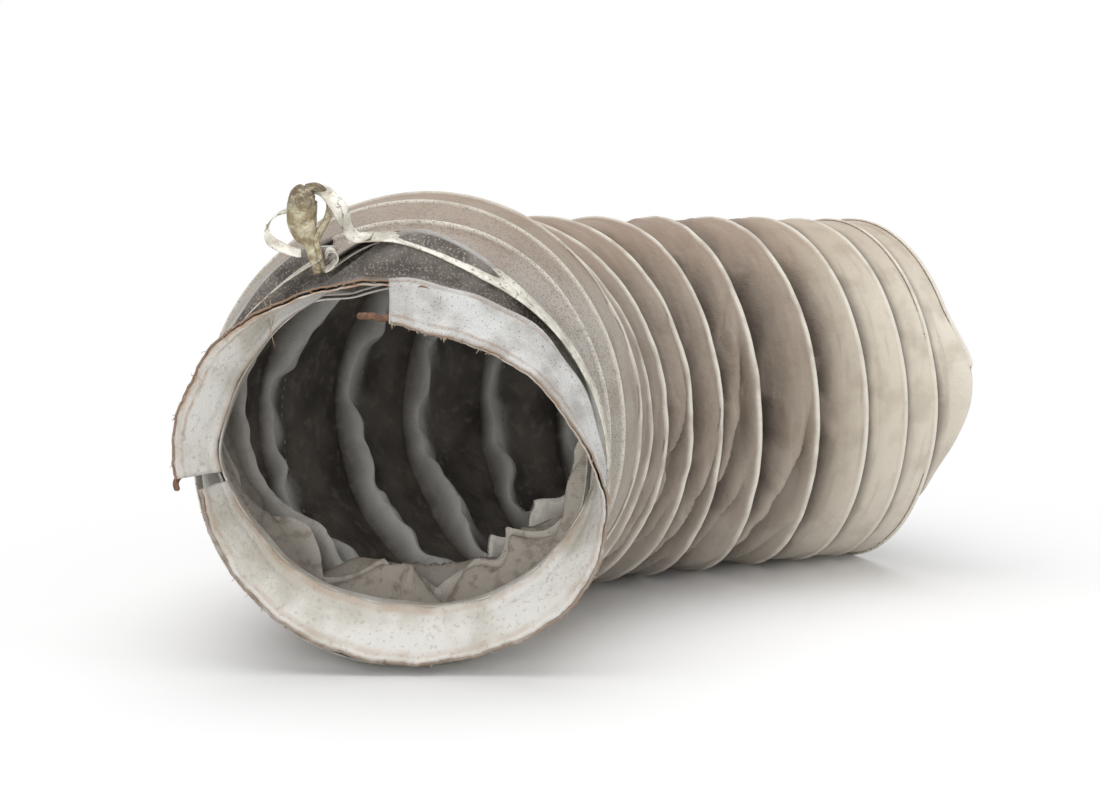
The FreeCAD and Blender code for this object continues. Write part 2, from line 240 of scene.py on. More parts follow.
def centre_line(s):
    """How far the duct has turned at s along its centre line, and the place there in mm."""
    bend = (min(max(s, STRAIGHT_IN), BEND_END) - STRAIGHT_IN) / BEND_RADIUS
    rest = max(s - BEND_END, 0.0)
    x = BEND_RADIUS * (1 - math.cos(bend)) + rest * math.sin(bend)
    y = min(s, STRAIGHT_IN) + BEND_RADIUS * math.sin(bend) + rest * math.cos(bend)
    return bend, x, y


def duct_point(turn, angle, change=0.0):
    """The rule in plain Python, for the pieces that are shaped one by one. Millimetres."""
    bend, x, y = centre_line(table_value(ALONG, turn))
    ring = table_value(RIDGE, turn)
    crown = table_value(CROWN, turn) * max(math.cos(angle), 0.0) ** CROWN_SHARPNESS
    pinch = table_value(PINCH, turn) * max(math.sin(angle), 0.0) ** 2
    radius = ring + crown - pinch + change
    out = radius * math.sin(angle)
    z = ring + TABLE_Z + radius * math.cos(angle)
    return np.array([x + out * math.cos(bend), y - out * math.sin(bend), max(z, TABLE_Z)])


print("the far end is at", duct_point(FAR_END_TURN, 0.0).round(1))

# %% [markdown]
# The same rule as a node group. The wire, the stitches and both plies all call this group, so
# they can't drift apart.


# %% Node group: place on the duct
def new_group(kind, name, inputs, outputs):
    """An empty node group, and its inputs by name. Each input has a name, a type, a default."""
    group = bpy.data.node_groups.new(name, kind)
    for label, value_type, default in inputs:
        socket = group.interface.new_socket(label, in_out="INPUT",
                                            socket_type="NodeSocket" + value_type)
        if default is not None:
            socket.default_value = default
    for label, value_type in outputs:
        group.interface.new_socket(label, in_out="OUTPUT", socket_type="NodeSocket" + value_type)
    start = group.nodes.new("NodeGroupInput")
    return group, {label: Num(group, start.outputs[label]) for label, value_type, default in inputs}


def look_up(turn, table):
    """A table of straight pieces as a Float Curve node."""
    top = max(y for x, y in table)
    node = add_node(turn.tree, "ShaderNodeFloatCurve", {"Value": turn / TURNS})
    curve = node.mapping.curves[0]
    for x, y in table[1:-1]:
        curve.points.new(x / TURNS, y / top)
    curve.points[0].location = (table[0][0] / TURNS, table[0][1] / top)
    curve.points[-1].location = (table[-1][0] / TURNS, table[-1][1] / top)
    for point in curve.points:
        point.handle_type = "VECTOR"
    node.mapping.update()
    return Num(turn.tree, node.outputs["Value"]) * top


place_group, given = new_group(
    "GeometryNodeTree", "place on duct",
    [("Turn", "Float", 0.0), ("Angle", "Float", 0.0), ("Change", "Float", 0.0)],
    [("Position", "Vector"), ("Along", "Float")])
turn = given["Turn"]
angle = given["Angle"]
along = look_up(turn, ALONG)
ring = look_up(turn, RIDGE)
bend = (along.at_least(STRAIGHT_IN).at_most(BEND_END) - STRAIGHT_IN) / BEND_RADIUS
rest = (along - BEND_END).at_least(0.0)
centre_x = (1.0 - bend.cos()) * BEND_RADIUS + rest * bend.sin()
centre_y = along.at_most(STRAIGHT_IN) + bend.sin() * BEND_RADIUS + rest * bend.cos()
crown = look_up(turn, CROWN) * angle.cos().at_least(0.0).do("POWER", CROWN_SHARPNESS)
pinch = look_up(turn, PINCH) * angle.sin().at_least(0.0).do("POWER", 2.0)
radius = ring + crown - pinch + given["Change"]
out = radius * angle.sin()
height = (ring + TABLE_Z + radius * angle.cos()).at_least(TABLE_Z)
spot = vector(place_group, (centre_x + out * bend.cos()) * MM, (centre_y - out * bend.sin()) * MM,
              height * MM)
add_node(place_group, "NodeGroupOutput", {"Position": spot, "Along": along})
print("node group with", len(place_group.nodes), "nodes")

# %% [markdown]
# ## The fold profile
# Across one turn of tape, from the fold in front to the fold behind, the cloth rises out of
# the fold, sags a little, goes over the wire as a sharp ridge near the rear edge, and falls
# into the next fold. Where the duct bends, some folds open into lens-shaped pockets and the
# slack cloth has slanting wrinkles. This group puts out how far the cloth stands from the
# ring, in millimetres, and masks for the ridge and the fold that the material reads, and a
# mask of painted shade that darkens each band towards the fold in front of it.

# %% Node group: fold profile
POCKET_WIDTH = 0.45
WRINKLE_HEIGHT = 0.6
fold_group, given = new_group(
    "GeometryNodeTree", "fold profile",
    [("Turn", "Float", 0.0), ("Angle", "Float", 0.0), ("Strip", "Float", 0.0),
     ("Wire Bump", "Float", 0.9)],
    [("Change", "Float"), ("Ridge", "Float"), ("Crease", "Float"), ("Gloom", "Float")])
turn = given["Turn"]
angle = given["Angle"]
strip = given["Strip"]
depth = look_up(turn, FOLD)
across = (strip + 0.0001).do("FRACT")
from_top = angle.cos().at_least(0.0)
calm_top = 1.0 - from_top * from_top * 0.62
slack = angle.sin() * 0.35 + 0.65
pocket = ring_noise(angle, 2.6, turn * 1.3).ramp(0.38, 0.54) * slack * (depth / DEEPEST_FOLD)
rise = across.ramp(0.0, pocket * POCKET_WIDTH + 0.12 + turn.ramp(4.5, 6.5) * 0.10)
fall = 1.0 - across.ramp(0.97, 1.0, smooth=False)
wall = rise.at_most(fall)
fine = ring_noise(angle + across * 0.55, 5.0, turn * 0.9, 1.5)
broad = ring_noise(angle, 1.6, turn * 0.45)
belly = (across * math.pi).sin()
wrinkles = (fine - 0.5) * 2.0 * belly * WRINKLE_HEIGHT * (pocket * 1.5 + 0.22) * (depth + 0.4)
ridge = across.hill(0.95, 0.035)
drop = depth * (pocket * 0.8 + 0.62) * (1.0 - wall) * (slack * 0.6 + 0.4)
lean = (1.0 - across) * depth * 0.34 * slack + belly * depth * 0.12

# slanting folds on the outer side of the bend: from_here is 0 at the top and 0.5 at the bottom
from_here = angle / (2 * math.pi) - 1.0
uneven = noise(fold_group, vector(fold_group, strip.do("FLOOR") * 3.7, 0.5, 0.5), 0.0) - 0.5
phase = across + (from_here - uneven * 0.30) / 0.21
bent = turn.ramp(5.6, 7.0) * (1.0 - turn.ramp(10.9, 11.7))
outer_side = from_here.ramp(0.04, 0.13) * (1.0 - from_here.ramp(0.42, 0.5)) * bent
crest = (phase.hill(1.85, 0.17) + phase.hill(2.45, 0.16) * 0.7).at_most(1.0)
upper_hollow = (1.0 - phase.ramp(1.35, 1.8)) * (1.0 - across.ramp(0.25, 0.85))
lower_hollow = phase.ramp(1.85, 2.1) * (1.0 - phase.ramp(2.3, 3.0)) * 0.7
away_from_wire = 1.0 - across.ramp(0.80, 0.93)
hollow = (upper_hollow + lower_hollow) * outer_side * away_from_wire * (1.0 - crest)
raised = crest * outer_side * away_from_wire
sunk = (drop + lean) * (1.0 - raised * 0.75) * calm_top + hollow * 6.5
add_node(fold_group, "NodeGroupOutput", {
    "Change": wrinkles * calm_top - sunk + ridge * given["Wire Bump"] + (broad - 0.5) * 1.2,
    "Ridge": ridge,
    "Crease": ((1.0 - wall) * (1.0 - raised) + hollow * 0.55).at_most(1.0),
    # the Gloom mask is painted shade, darkest at the fold in front of each band
    "Gloom": (1.0 - across) * (1.0 - across) * calm_top * depth / DEEPEST_FOLD * (1.0 - raised)})
print("fold profile with", len(fold_group.nodes), "nodes")

# %% [markdown]
# ## The ply tree
# A flat grid is rolled along the helix. One side of the grid runs once round the duct, from
# bottom to bottom, and the other side counts strips of tape, with more columns near the
# folds. Faces before the first seam are deleted and the far end is held back to a limit, so
# both ends of the skin run along the helix, as wound tape does. A lining can also crumple
# inwards.


# %% Geometry tree: one ply of wound tape
def on_duct(tree, turn, angle, strip, wire_bump):
    """The fold profile at a place on the duct, and the node that gives the place itself."""
    folds = add_node(tree, "GeometryNodeGroup",
                     {"Turn": turn, "Angle": angle, "Strip": strip, "Wire Bump": wire_bump},
                     node_tree=fold_group)
    spot = add_node(tree, "GeometryNodeGroup", {"Turn": turn, "Angle": angle}, node_tree=place_group)
    return {output.name: Num(tree, output) for output in folds.outputs}, spot


def store(tree, geometry, name, value, data_type="FLOAT", domain="POINT"):
    """Writes a named attribute that a material can read."""
    return add_node(tree, "GeometryNodeStoreNamedAttribute",
                    {"Geometry": geometry, "Name": name, "Value": value},
                    data_type=data_type, domain=domain).outputs["Geometry"]


TOP_PATCH = 0.94
REAR_STEP = 1.21
STEP_LENGTH = 0.16
ply_tree, given = new_group(
    "GeometryNodeTree", "wound ply",
    [("Geometry", "Geometry", None), ("First Strip", "Float", 1.0), ("Strips", "Float", 4.0),
     ("Columns", "Int", 80), ("Rows", "Int", 300), ("Inset", "Float", 0.0), ("Crumple", "Float", 0.0),
     ("Wire Bump", "Float", 0.9), ("Front Limit", "Float", -9.0), ("Rear Limit", "Float", 99.0),
     ("Material", "Material", None)],
    [("Geometry", "Geometry")])
grid = add_node(ply_tree, "GeometryNodeMeshGrid",
                {"Vertices X": given["Columns"] + 1.0, "Vertices Y": given["Rows"] + 1.0})
position = ply_tree.nodes.new("GeometryNodeInputPosition")
split = add_node(ply_tree, "ShaderNodeSeparateXYZ", {0: position.outputs[0]})
count = (Num(ply_tree, split.outputs[0]) + 0.5) * given["Strips"]
strip = count - (count * 2 * math.pi).sin() * (0.6 / (2 * math.pi)) + given["First Strip"]
share = Num(ply_tree, split.outputs[1]) + 1.0
after_step = share.ramp(REAR_STEP, REAR_STEP + STEP_LENGTH, smooth=False)
strip = strip.at_most(given["Rear Limit"] - after_step)
turn = strip + share
angle = share * 2 * math.pi
after_top = share.do("GREATER_THAN", TOP_PATCH)
too_early = (strip + after_top).do("LESS_THAN", given["Front Limit"])
trim = add_node(ply_tree, "GeometryNodeDeleteGeometry",
                {"Geometry": grid.outputs["Mesh"], "Selection": too_early}, domain="FACE")
folds, spot = on_duct(ply_tree, turn, angle, strip, given["Wire Bump"])

# the lining crumples: tents low down behind the mouth, hanging cloth, and cloth at the seams
tents = angle * (7 / math.pi) + ring_noise(angle, 1.4, turn * 0.7) * 5.0 + turn * 0.9
tents = tents.do("PINGPONG", 1.0)
low_side = (share + 0.01).do("WRAP", 1.0, 0.0).hill(0.5, 0.33)
near_mouth = turn.ramp(2.5, 3.1) * (1.0 - turn.ramp(3.8, 5.6))
slack_cloth = ring_noise(angle + turn * 0.4, 2.1, turn * 0.9, 1.5)
hang = (slack_cloth - 0.42).at_least(0.0) * 5.0 * turn.ramp(2.4, 3.4)
seam_fold = folds["Crease"] * slack_cloth.ramp(0.3, 0.7) * turn.ramp(3.0, 4.0) * 7.0
crumple = low_side * near_mouth * (tents * 0.65 + 0.35) * 20.0 + hang + seam_fold
torn_corner = (share - REAR_STEP).hill(0.035, 0.085) * turn.ramp(14.0, 15.2) * 9.0
fill(ply_tree, spot, {
    "Change": folds["Change"] - given["Inset"] - crumple * given["Crumple"] + torn_corner})

cloth_uv = vector(ply_tree, share * (2 * math.pi * BODY_RADIUS * MM),
                  Num(ply_tree, spot.outputs["Along"]) * MM, 0.0)
shape = store(ply_tree, trim.outputs[0], "UVMap", cloth_uv, "FLOAT2", "CORNER")
shape = store(ply_tree, shape, "turn", turn)
# the outer cloth paints shade from the crease and gloom masks and partly a highlight on the ridge; the
# lining paints a highlight from the crease mask
for name in ("Ridge", "Crease", "Gloom"):
    shape = store(ply_tree, shape, name.lower(), folds[name])
move = add_node(ply_tree, "GeometryNodeSetPosition",
                {"Geometry": shape, "Position": spot.outputs["Position"]})
weld = add_node(ply_tree, "GeometryNodeMergeByDistance",
                {"Geometry": move.outputs[0], "Distance": 0.02 * MM})


def dress(tree, geometry, material):
    """Smooth shading and the material, then out."""
    real = add_node(tree, "GeometryNodeRealizeInstances", {0: geometry})
    smooth = add_node(tree, "GeometryNodeSetShadeSmooth", {0: real.outputs[0]})
    dressed = add_node(tree, "GeometryNodeSetMaterial",
                       {"Geometry": smooth.outputs[0], "Material": material})
    add_node(tree, "NodeGroupOutput", {"Geometry": dressed.outputs[0]})


dress(ply_tree, weld.outputs[0], given["Material"])
print("ply tree with", len(ply_tree.nodes), "nodes")

# %% [markdown]
# ## Colours and shared effects
# Each finish below is built from the same few effects: a weave, a mottle of dirt and dark
# specks. They are node groups, so every material can use them with its own values. Colours
# are written as they look on a screen, and turned into the linear values that Blender needs.


# %% Shader helpers and effect groups
def colour(red, green, blue):
    """A screen colour, 0 to 255, as Blender's linear colour."""
    linear = []
    for value in (red, green, blue):
        share = value / 255
        linear.append(share / 12.92 if share < 0.04045 else ((share + 0.055) / 1.055) ** 2.4)
    return (*linear, 1.0)


def layered(tree, shade, layers):
    """Colours laid over one another. Each layer is a mask, 0 to 1, and a screen colour."""
    for mask, tint in layers:
        node = add_node(tree, "ShaderNodeMix", {0: mask, 6: shade, 7: colour(*tint)}, data_type="RGBA")
        shade = node.outputs[2]
    return shade


def colour_ramp(tree, factor, stops):
    node = add_node(tree, "ShaderNodeValToRGB", {0: factor})
    elements = node.color_ramp.elements
    while len(elements) < len(stops):
        elements.new(0.5)
    for element, (place, tint) in zip(elements, stops):
        element.position = place
        element.color = colour(*tint)
    return node.outputs[0]


weave_group, given = new_group(
    "ShaderNodeTree", "plain weave", [("Vector", "Vector", None), ("Pitch", "Float", 0.0009)],
    [("Height", "Float")])
axes = add_node(weave_group, "ShaderNodeSeparateXYZ", {0: given["Vector"]})
warp = (Num(weave_group, axes.outputs[0]) / given["Pitch"] * 2 * math.pi).sin()
weft = (Num(weave_group, axes.outputs[1]) / given["Pitch"] * 2 * math.pi).sin()
add_node(weave_group, "NodeGroupOutput", {"Height": warp * weft * 0.5 + 0.5})

mottle_group, given = new_group(
    "ShaderNodeTree", "mottle",
    [("Vector", "Vector", None), ("Scale", "Float", 80.0), ("Low", "Float", 0.4),
     ("High", "Float", 0.65)],
    [("Mask", "Float")])
cloud = add_node(mottle_group, "ShaderNodeTexNoise",
                 {"Vector": given["Vector"], "Scale": given["Scale"], "Detail": 6.0})
mask = Num(mottle_group, cloud.outputs[0]).ramp(given["Low"], given["High"])
add_node(mottle_group, "NodeGroupOutput", {"Mask": mask})


def object_place(tree):
    return tree.nodes.new("ShaderNodeTexCoord").outputs["Object"]


def height_of(tree):
    """The height on the object, in metres."""
    return Num(tree, add_node(tree, "ShaderNodeSeparateXYZ", {0: object_place(tree)}).outputs[2])


def cloth_map(tree):
    return add_node(tree, "ShaderNodeUVMap", {}, uv_map="UVMap").outputs[0]


def painted(tree, name):
    """A named attribute of the mesh, as a number."""
    return Num(tree, add_node(tree, "ShaderNodeAttribute", {}, attribute_name=name).outputs["Fac"])


def weave(tree, pitch):
    node = add_node(tree, "ShaderNodeGroup", {"Vector": cloth_map(tree), "Pitch": pitch},
                    node_tree=weave_group)
    return Num(tree, node.outputs["Height"])


def mottle(tree, scale, low, high, place=None):
    """Patches of grime, 0 to 1, laid out in the object's space unless a place is given."""
    if place is None:
        place = object_place(tree)
    node = add_node(tree, "ShaderNodeGroup",
                    {"Vector": place, "Scale": scale, "Low": low, "High": high},
                    node_tree=mottle_group)
    return Num(tree, node.outputs["Mask"])


def streaks(tree, scale, low, high):
    """Dirt drawn out along the tape, read from the cloth map."""
    drawn = add_node(tree, "ShaderNodeMapping",
                     {"Vector": cloth_map(tree), "Scale": (0.12, 1.0, 1.0)})
    return mottle(tree, scale, low, high, drawn.outputs[0])


def bump(tree, height, distance, strength=1.0):
    return add_node(tree, "ShaderNodeBump",
                    {"Distance": distance, "Strength": strength, "Height": height}).outputs[0]


def new_material(name):
    material = bpy.data.materials.new(name)
    material.use_nodes = True
    return material, material.node_tree, material.node_tree.nodes["Principled BSDF"]


print("effects:", weave_group.name, "and", mottle_group.name)

# %% [markdown]
# ## Finishes of the cloth
# The outer cloth is light grey with dark specks near the mouth and taupe along the body, and
# its far end is painted cream, a painted highlight for the strong light from behind. It is
# painted lighter towards the bottom, a painted highlight of light from the table, and browner
# towards the top. Ridges are rubbed pale and carry a painted highlight; the folds, and each band
# towards its fold, are painted shade. The colour along the duct follows the turn number, so it
# stays on the cloth when the duct bends. The lining is sooty, and its inner ridges carry a
# painted highlight.

# %% Materials for the plies
outer_cloth, tree, shader = new_material("weathered outer cloth")
turn = painted(tree, "turn")
level = height_of(tree)
# colour along the turns: light grey near the mouth, taupe along the body, and cream at the far end, where
# the cream is a painted highlight for strong light from behind
base = colour_ramp(tree, turn / TURNS, [
    (0.13, (176, 171, 165)), (0.26, (174, 167, 157)), (0.36, (150, 138, 126)),
    (0.60, (146, 133, 120)), (0.71, (154, 141, 126)), (0.78, (208, 199, 182)),
    (0.95, (222, 214, 199))])
shade = layered(tree, base, [
    (mottle(tree, 90, 0.45, 0.66) * 0.25, (128, 111, 94)),
    (streaks(tree, 420, 0.44, 0.76) * 0.22, (200, 190, 174)),
    (streaks(tree, 300, 0.52, 0.74) * 0.32, (112, 94, 76)),
    # painted highlight: the cloth is painted lighter towards the bottom, for light thrown up from the
    # table
    ((1.0 - level.ramp(-0.050, 0.005)) * 0.42, (206, 199, 188)),
    (level.ramp(0.030, 0.062) * 0.45, (142, 115, 92)),
    # the pale ridges are partly rubbed cloth and partly a painted highlight
    (painted(tree, "ridge") * (mottle(tree, 120, 0.3, 0.6) * 0.5 + 0.5), (232, 226, 214)),
    # painted shade: each band is painted darker towards the fold in front of it
    (painted(tree, "gloom") * 0.7, (84, 72, 62)),
    # painted shade: the folds are painted dark
    (painted(tree, "crease") * 0.85, (60, 50, 42)),
    (mottle(tree, 2200, 0.52, 0.6) * (1.0 - turn.ramp(3.0, 6.0)) * 0.5, (86, 78, 70))])
grain = weave(tree, 0.0010) * 0.12 + mottle(tree, 500, 0.3, 0.7) * 0.5
fill(tree, shader, {
    "Base Color": shade, "Roughness": mottle(tree, 60, 0.3, 0.7) * 0.15 + 0.68,
    "Sheen Weight": 0.08, "Normal": bump(tree, grain, 0.0004, 0.7)})

inner_cloth, tree, shader = new_material("sooty lining cloth")
greyer = 1.0 - painted(tree, "turn").ramp(3.2, 5.5)
soot_and_highlights = layered(tree, colour(118, 111, 103), [
    (mottle(tree, 55, 0.35, 0.65), (76, 70, 64)),
    (mottle(tree, 260, 0.52, 0.68) * 0.4, (146, 138, 128)),
    # painted highlight: the inner ridges at the creases are painted near white
    (painted(tree, "crease") * 0.9, (240, 238, 232)),
    (greyer * 0.8, (190, 182, 171)),
    (greyer * mottle(tree, 330, 0.5, 0.64) * 0.5, (128, 114, 98))])
grain = weave(tree, 0.0010) * 0.4 + mottle(tree, 420, 0.3, 0.7) * 0.6
fill(tree, shader, {"Base Color": soot_and_highlights, "Roughness": 0.72, "Normal": bump(tree, grain, 0.0004, 0.6)})
print("made", outer_cloth.name, "and", inner_cloth.name)

# %% [markdown]
# ## Winding the plies
# The tree is run once for every stretch of the duct. The stretches
# part along a seam of the tape, where the real duct has its deepest fold, so the cuts don't
# show. Each result is turned into a plain mesh and gets the thickness of the cloth.


# %% Helper: run a geometry tree into a plain mesh
def run_tree(name, tree, values):
    """The mesh that a geometry tree makes, as an object with no modifier."""
    maker = new_object(name + " maker", bpy.data.meshes.new(name + " start"))
    modifier = maker.modifiers.new("tree", "NODES")
    modifier.node_group = tree
    for item in tree.interface.items_tree:
        if item.in_out == "INPUT" and item.name in values:
            modifier[item.identifier] = values[item.name]
    graph = bpy.context.evaluated_depsgraph_get()
    mesh = bpy.data.meshes.new_from_object(maker.evaluated_get(graph), depsgraph=graph)
    bpy.data.objects.remove(maker)
    mesh.name = name
    return new_object(name, mesh)


def give_thickness(piece, thickness, offset=-1.0):
    solid = piece.modifiers.new("cloth thickness", "SOLIDIFY")
    solid.thickness = thickness
    solid.offset = offset
    solid.use_quality_normals = True


# %% Outer ply and lining of each stretch
# first strip and number of strips, bodies in front and behind, middle of the bend along the
# centre line, how far before and behind it the cloth bends or stretches, and the CAD nodes
Stretch = namedtuple("Stretch", "name first strips front rear middle reach nodes")
STRETCHES = [
    Stretch("front_bend", 1, 4, "front_end", "front_middle", 53.0, (14.5, 7.7),
            ["front_bend", "front_middle"]),
    Stretch("lift_bend", 5, 2, "front_middle", "centre", 101.0, (9.9, 9.3),
            ["lift_bend", "centre_turn"]),
    Stretch("rear_bend", 7, 2, "centre", "rear_middle", 149.0, (11.5, 7.9),
            ["rear_bend", "rear_middle"]),
    Stretch("stretch", 9, 2, "rear_middle", "rear_end", 191.0, (9.9, 9.9), ["stretch_zone"]),
    Stretch("rear_cuff", 11, 3, "rear_end", None, None, None, ["rear_cuff"]),
]
FIRST_SEAM = 2.0
LAST_SEAM = 14.0
COLUMNS_PER_TURN = 32
ROWS_AROUND = 320
COVER_THICKNESS = 0.5 * MM
LINING_THICKNESS = 0.4 * MM


def add_stretch_piece(stretch, tree, values, ending, node_ending, thickness=None):
    """One piece of a stretch, in place of its CAD nodes, which are hidden. A piece with no body behind it
    rides its front body; the others stay fixed where they are made.
    """
    piece = run_tree(stretch.name + ending, tree, values)
    if thickness is not None:
        give_thickness(piece, thickness)
    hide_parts(*[node + node_ending for node in stretch.nodes])
    if stretch.rear is None:
        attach(piece, stretch.front)
        return piece
    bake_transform(piece)
    return piece


for stretch in STRETCHES:
    shared = {"First Strip": float(stretch.first), "Strips": float(stretch.strips),
              "Rows": ROWS_AROUND, "Columns": stretch.strips * COLUMNS_PER_TURN}
    if stretch is STRETCHES[0]:
        shared["Front Limit"] = FIRST_SEAM
    if stretch is STRETCHES[-1]:
        shared["Rear Limit"] = LAST_SEAM
    cover = add_stretch_piece(stretch, ply_tree, {**shared, "Material": outer_cloth},
                              "_cover", "_outer_ply", COVER_THICKNESS)
    inside = {**shared, "Inset": 1.7, "Crumple": 1.0, "Wire Bump": 0.3, "Material": inner_cloth}
    lining = add_stretch_piece(stretch, ply_tree, inside, "_lining", "_liner",
                               LINING_THICKNESS)
    print(stretch.name, len(cover.data.polygons), "faces of cover,", len(lining.data.polygons),
          "of lining")

# %% [markdown]
# ## Wire and stitches
# The spring wire lies under the ridge of every turn, between the plies, and shows only at its
# broken ends. It is a curve that follows the rule, swept with a small circle. The seam of the
# tape is sewn, and its stitches show inside as a dotted line, so they are one short stitch
# placed again and again along the same rule.

# %% Geometry tree: things that follow the helix
STITCH_LENGTH = 1.5 * MM
helix_tree, given = new_group(
    "GeometryNodeTree", "helix follower",
    [("Geometry", "Geometry", None), ("From Turn", "Float", 2.0), ("To Turn", "Float", 6.0),
     ("Points", "Int", 400), ("Strip Share", "Float", 0.945), ("Inset", "Float", 1.35),
     ("Wire Bump", "Float", 0.9), ("Radius", "Float", 0.8 * MM), ("Stitch", "Bool", False),
     ("Material", "Material", None)],
    [("Geometry", "Geometry")])
line = add_node(helix_tree, "GeometryNodeMeshLine", {"Count": given["Points"]})
index = Num(helix_tree, helix_tree.nodes.new("GeometryNodeInputIndex").outputs[0])
reach = given["To Turn"] - given["From Turn"]
turn = given["From Turn"] + index / (given["Points"] - 1.0) * reach
since_seam = turn - given["Strip Share"]
whole = (since_seam - 0.5).do("FLOOR")
angle = (since_seam - whole) * 2 * math.pi
folds, spot = on_duct(helix_tree, turn, angle, whole + given["Strip Share"], given["Wire Bump"])
fill(helix_tree, spot, {"Change": folds["Change"] - given["Inset"]})
laid = add_node(helix_tree, "GeometryNodeSetPosition",
                {"Geometry": line.outputs[0], "Position": spot.outputs["Position"]})
path = add_node(helix_tree, "GeometryNodeMeshToCurve", {0: laid.outputs[0]})
circle = add_node(helix_tree, "GeometryNodeCurvePrimitiveCircle",
                  {"Resolution": 8, "Radius": given["Radius"]})
swept = add_node(helix_tree, "GeometryNodeCurveToMesh", {
    "Curve": path.outputs[0], "Profile Curve": circle.outputs[0], "Fill Caps": True})
stitch = add_node(helix_tree, "GeometryNodeMeshIcoSphere", {"Radius": 1.0, "Subdivisions": 1})
tangent = helix_tree.nodes.new("GeometryNodeInputTangent")
aim = add_node(helix_tree, "FunctionNodeAlignEulerToVector", {"Vector": tangent.outputs[0]}, axis="X")
stitch_size = vector(helix_tree, STITCH_LENGTH / 2, given["Radius"], given["Radius"])
placed = add_node(helix_tree, "GeometryNodeInstanceOnPoints", {
    "Points": path.outputs[0], "Instance": stitch.outputs[0], "Rotation": aim.outputs[0],
    "Scale": stitch_size})
choose = add_node(helix_tree, "GeometryNodeSwitch", {
    "Switch": given["Stitch"], "False": swept.outputs[0], "True": placed.outputs[0]})
dress(helix_tree, choose.outputs[0], given["Material"])
print("helix tree with", len(helix_tree.nodes), "nodes")

# %% [markdown]
# Rusty drawn wire is brown and orange with a little bare metal. The sewing thread is an
# off-white yarn that took up the dirt of the folds.

# %% Materials for wire and thread
wire_steel, tree, shader = new_material("rusty spring wire")
rust = layered(tree, colour(140, 106, 86), [
    (mottle(tree, 300, 0.4, 0.6), (108, 82, 68)),
    (mottle(tree, 900, 0.55, 0.7) * 0.6, (178, 128, 98))])
fill(tree, shader, {
    "Base Color": rust, "Metallic": 0.35, "Roughness": mottle(tree, 500, 0.3, 0.7) * 0.3 + 0.5,
    "Normal": bump(tree, mottle(tree, 1500, 0.3, 0.7), 0.0002)})

thread, tree, shader = new_material("off-white seam thread")
yarn = layered(tree, colour(188, 180, 166), [(mottle(tree, 400, 0.4, 0.65), (120, 108, 94))])
fill(tree, shader, {"Base Color": yarn, "Roughness": 0.8,
                    "Normal": bump(tree, mottle(tree, 3000, 0.3, 0.7), 0.0001)})

# %% Wire and stitches of each stretch
WIRE_LAG = 1.42  # turns from the front seam of a stretch to the start of its wire
WIRE_START = 2.95
WIRE_END = 15.0
WIRE_POINTS_PER_TURN = 120
STITCHES_PER_TURN = 130
for stretch in STRETCHES:
    start_turn = max(stretch.first + WIRE_LAG, WIRE_START)
    end_turn = min(stretch.first + stretch.strips + WIRE_LAG, WIRE_END)
    turns = end_turn - start_turn
    shared = {"From Turn": start_turn, "To Turn": end_turn}
    wire = {**shared, "Material": wire_steel, "Points": int(turns * WIRE_POINTS_PER_TURN)}
    add_stretch_piece(stretch, helix_tree, wire, "_spring_wire", "_wire")
    seam = {**shared, "Material": thread, "Stitch": True, "Strip Share": 0.20, "Inset": 2.3,
            "Radius": 0.22 * MM, "Wire Bump": 0.3, "Points": int(turns * STITCHES_PER_TURN)}
    add_stretch_piece(stretch, helix_tree, seam, "_seam_stitches", "_thread")
print("wires and stitches on", len(STRETCHES), "stretches")

# %% [markdown]
# ## The torn front turn
# The front of the duct follows no rule: the first turn of tape was cut at the top, torn on the
# left and pressed out of round. It is shaped from tables of its edges instead. Each
# row is an angle in degrees, clockwise from the top, then the radius and the depth in
# millimetres. Between two edges a strip of cloth is drawn, with a small bead over the wire.

# %% Edge tables of the front turns
MOUTH_Z = -3.0
CUT_EDGE = [(-5, 38.9, 2.6), (5, 36.1, 2.5), (17, 36.0, 2.4), (32, 37.3, 2.0), (45, 39.2, 1.6),
            (57, 41.5, 1.0), (68, 42.6, 0.6), (77, 45.3, 0.2), (84, 47.1, 0), (97, 51.5, 0),
            (119, 54.0, 1), (134, 53.2, 2.5), (150, 50.8, 4), (165, 49.4, 5), (180, 49.1, 5),
            (201, 48.9, 5), (227, 49.9, 5.4), (248, 51.2, 5.8), (265, 51.8, 6)]
SEAM = [(355, 48.3, 9.8), (365, 47.7, 10), (376, 47, 10.6), (388, 47.3, 11), (398, 48.6, 11.5),
        (416, 48.6, 12), (431, 49.2, 12.6), (443, 48.7, 13), (452, 49.9, 13), (467, 46, 12.6),
        (485, 43, 12.2), (502, 40.6, 11.6), (521, 37.7, 11.2), (540, 35.6, 11), (558, 36.2, 11.6),
        (571, 37.4, 12.4), (581, 38.7, 13.2), (591, 40.4, 14), (603, 42.1, 15), (616, 45.1, 16),
        (625, 47.8, 17), (633, 50, 17.4), (646, 49.5, 18), (665, 49.5, 19), (690, 50, 20.4),
        (720, 51.5, 22)]
FLAP_EDGE = [(268, 57.6, 7), (270, 58, 7.2), (278, 59.6, 7.8), (306, 57.8, 8.4), (320, 53.8, 8.8),
             (337, 50.6, 9.2), (355, 48.3, 9.8)]


def edge_at(table, degrees):
    """Radius and depth of an edge, with the corners of the table rounded off."""
    angles, radii, depths = zip(*table)
    nearby = degrees + np.linspace(-4, 4, 9)
    return np.mean(np.interp(nearby, angles, radii)), np.mean(np.interp(nearby, angles, depths))


def rim_point(degrees, radius, depth):
    a = math.radians(degrees)
    return np.array([radius * math.sin(a), depth, MOUTH_Z + radius * math.cos(a)])


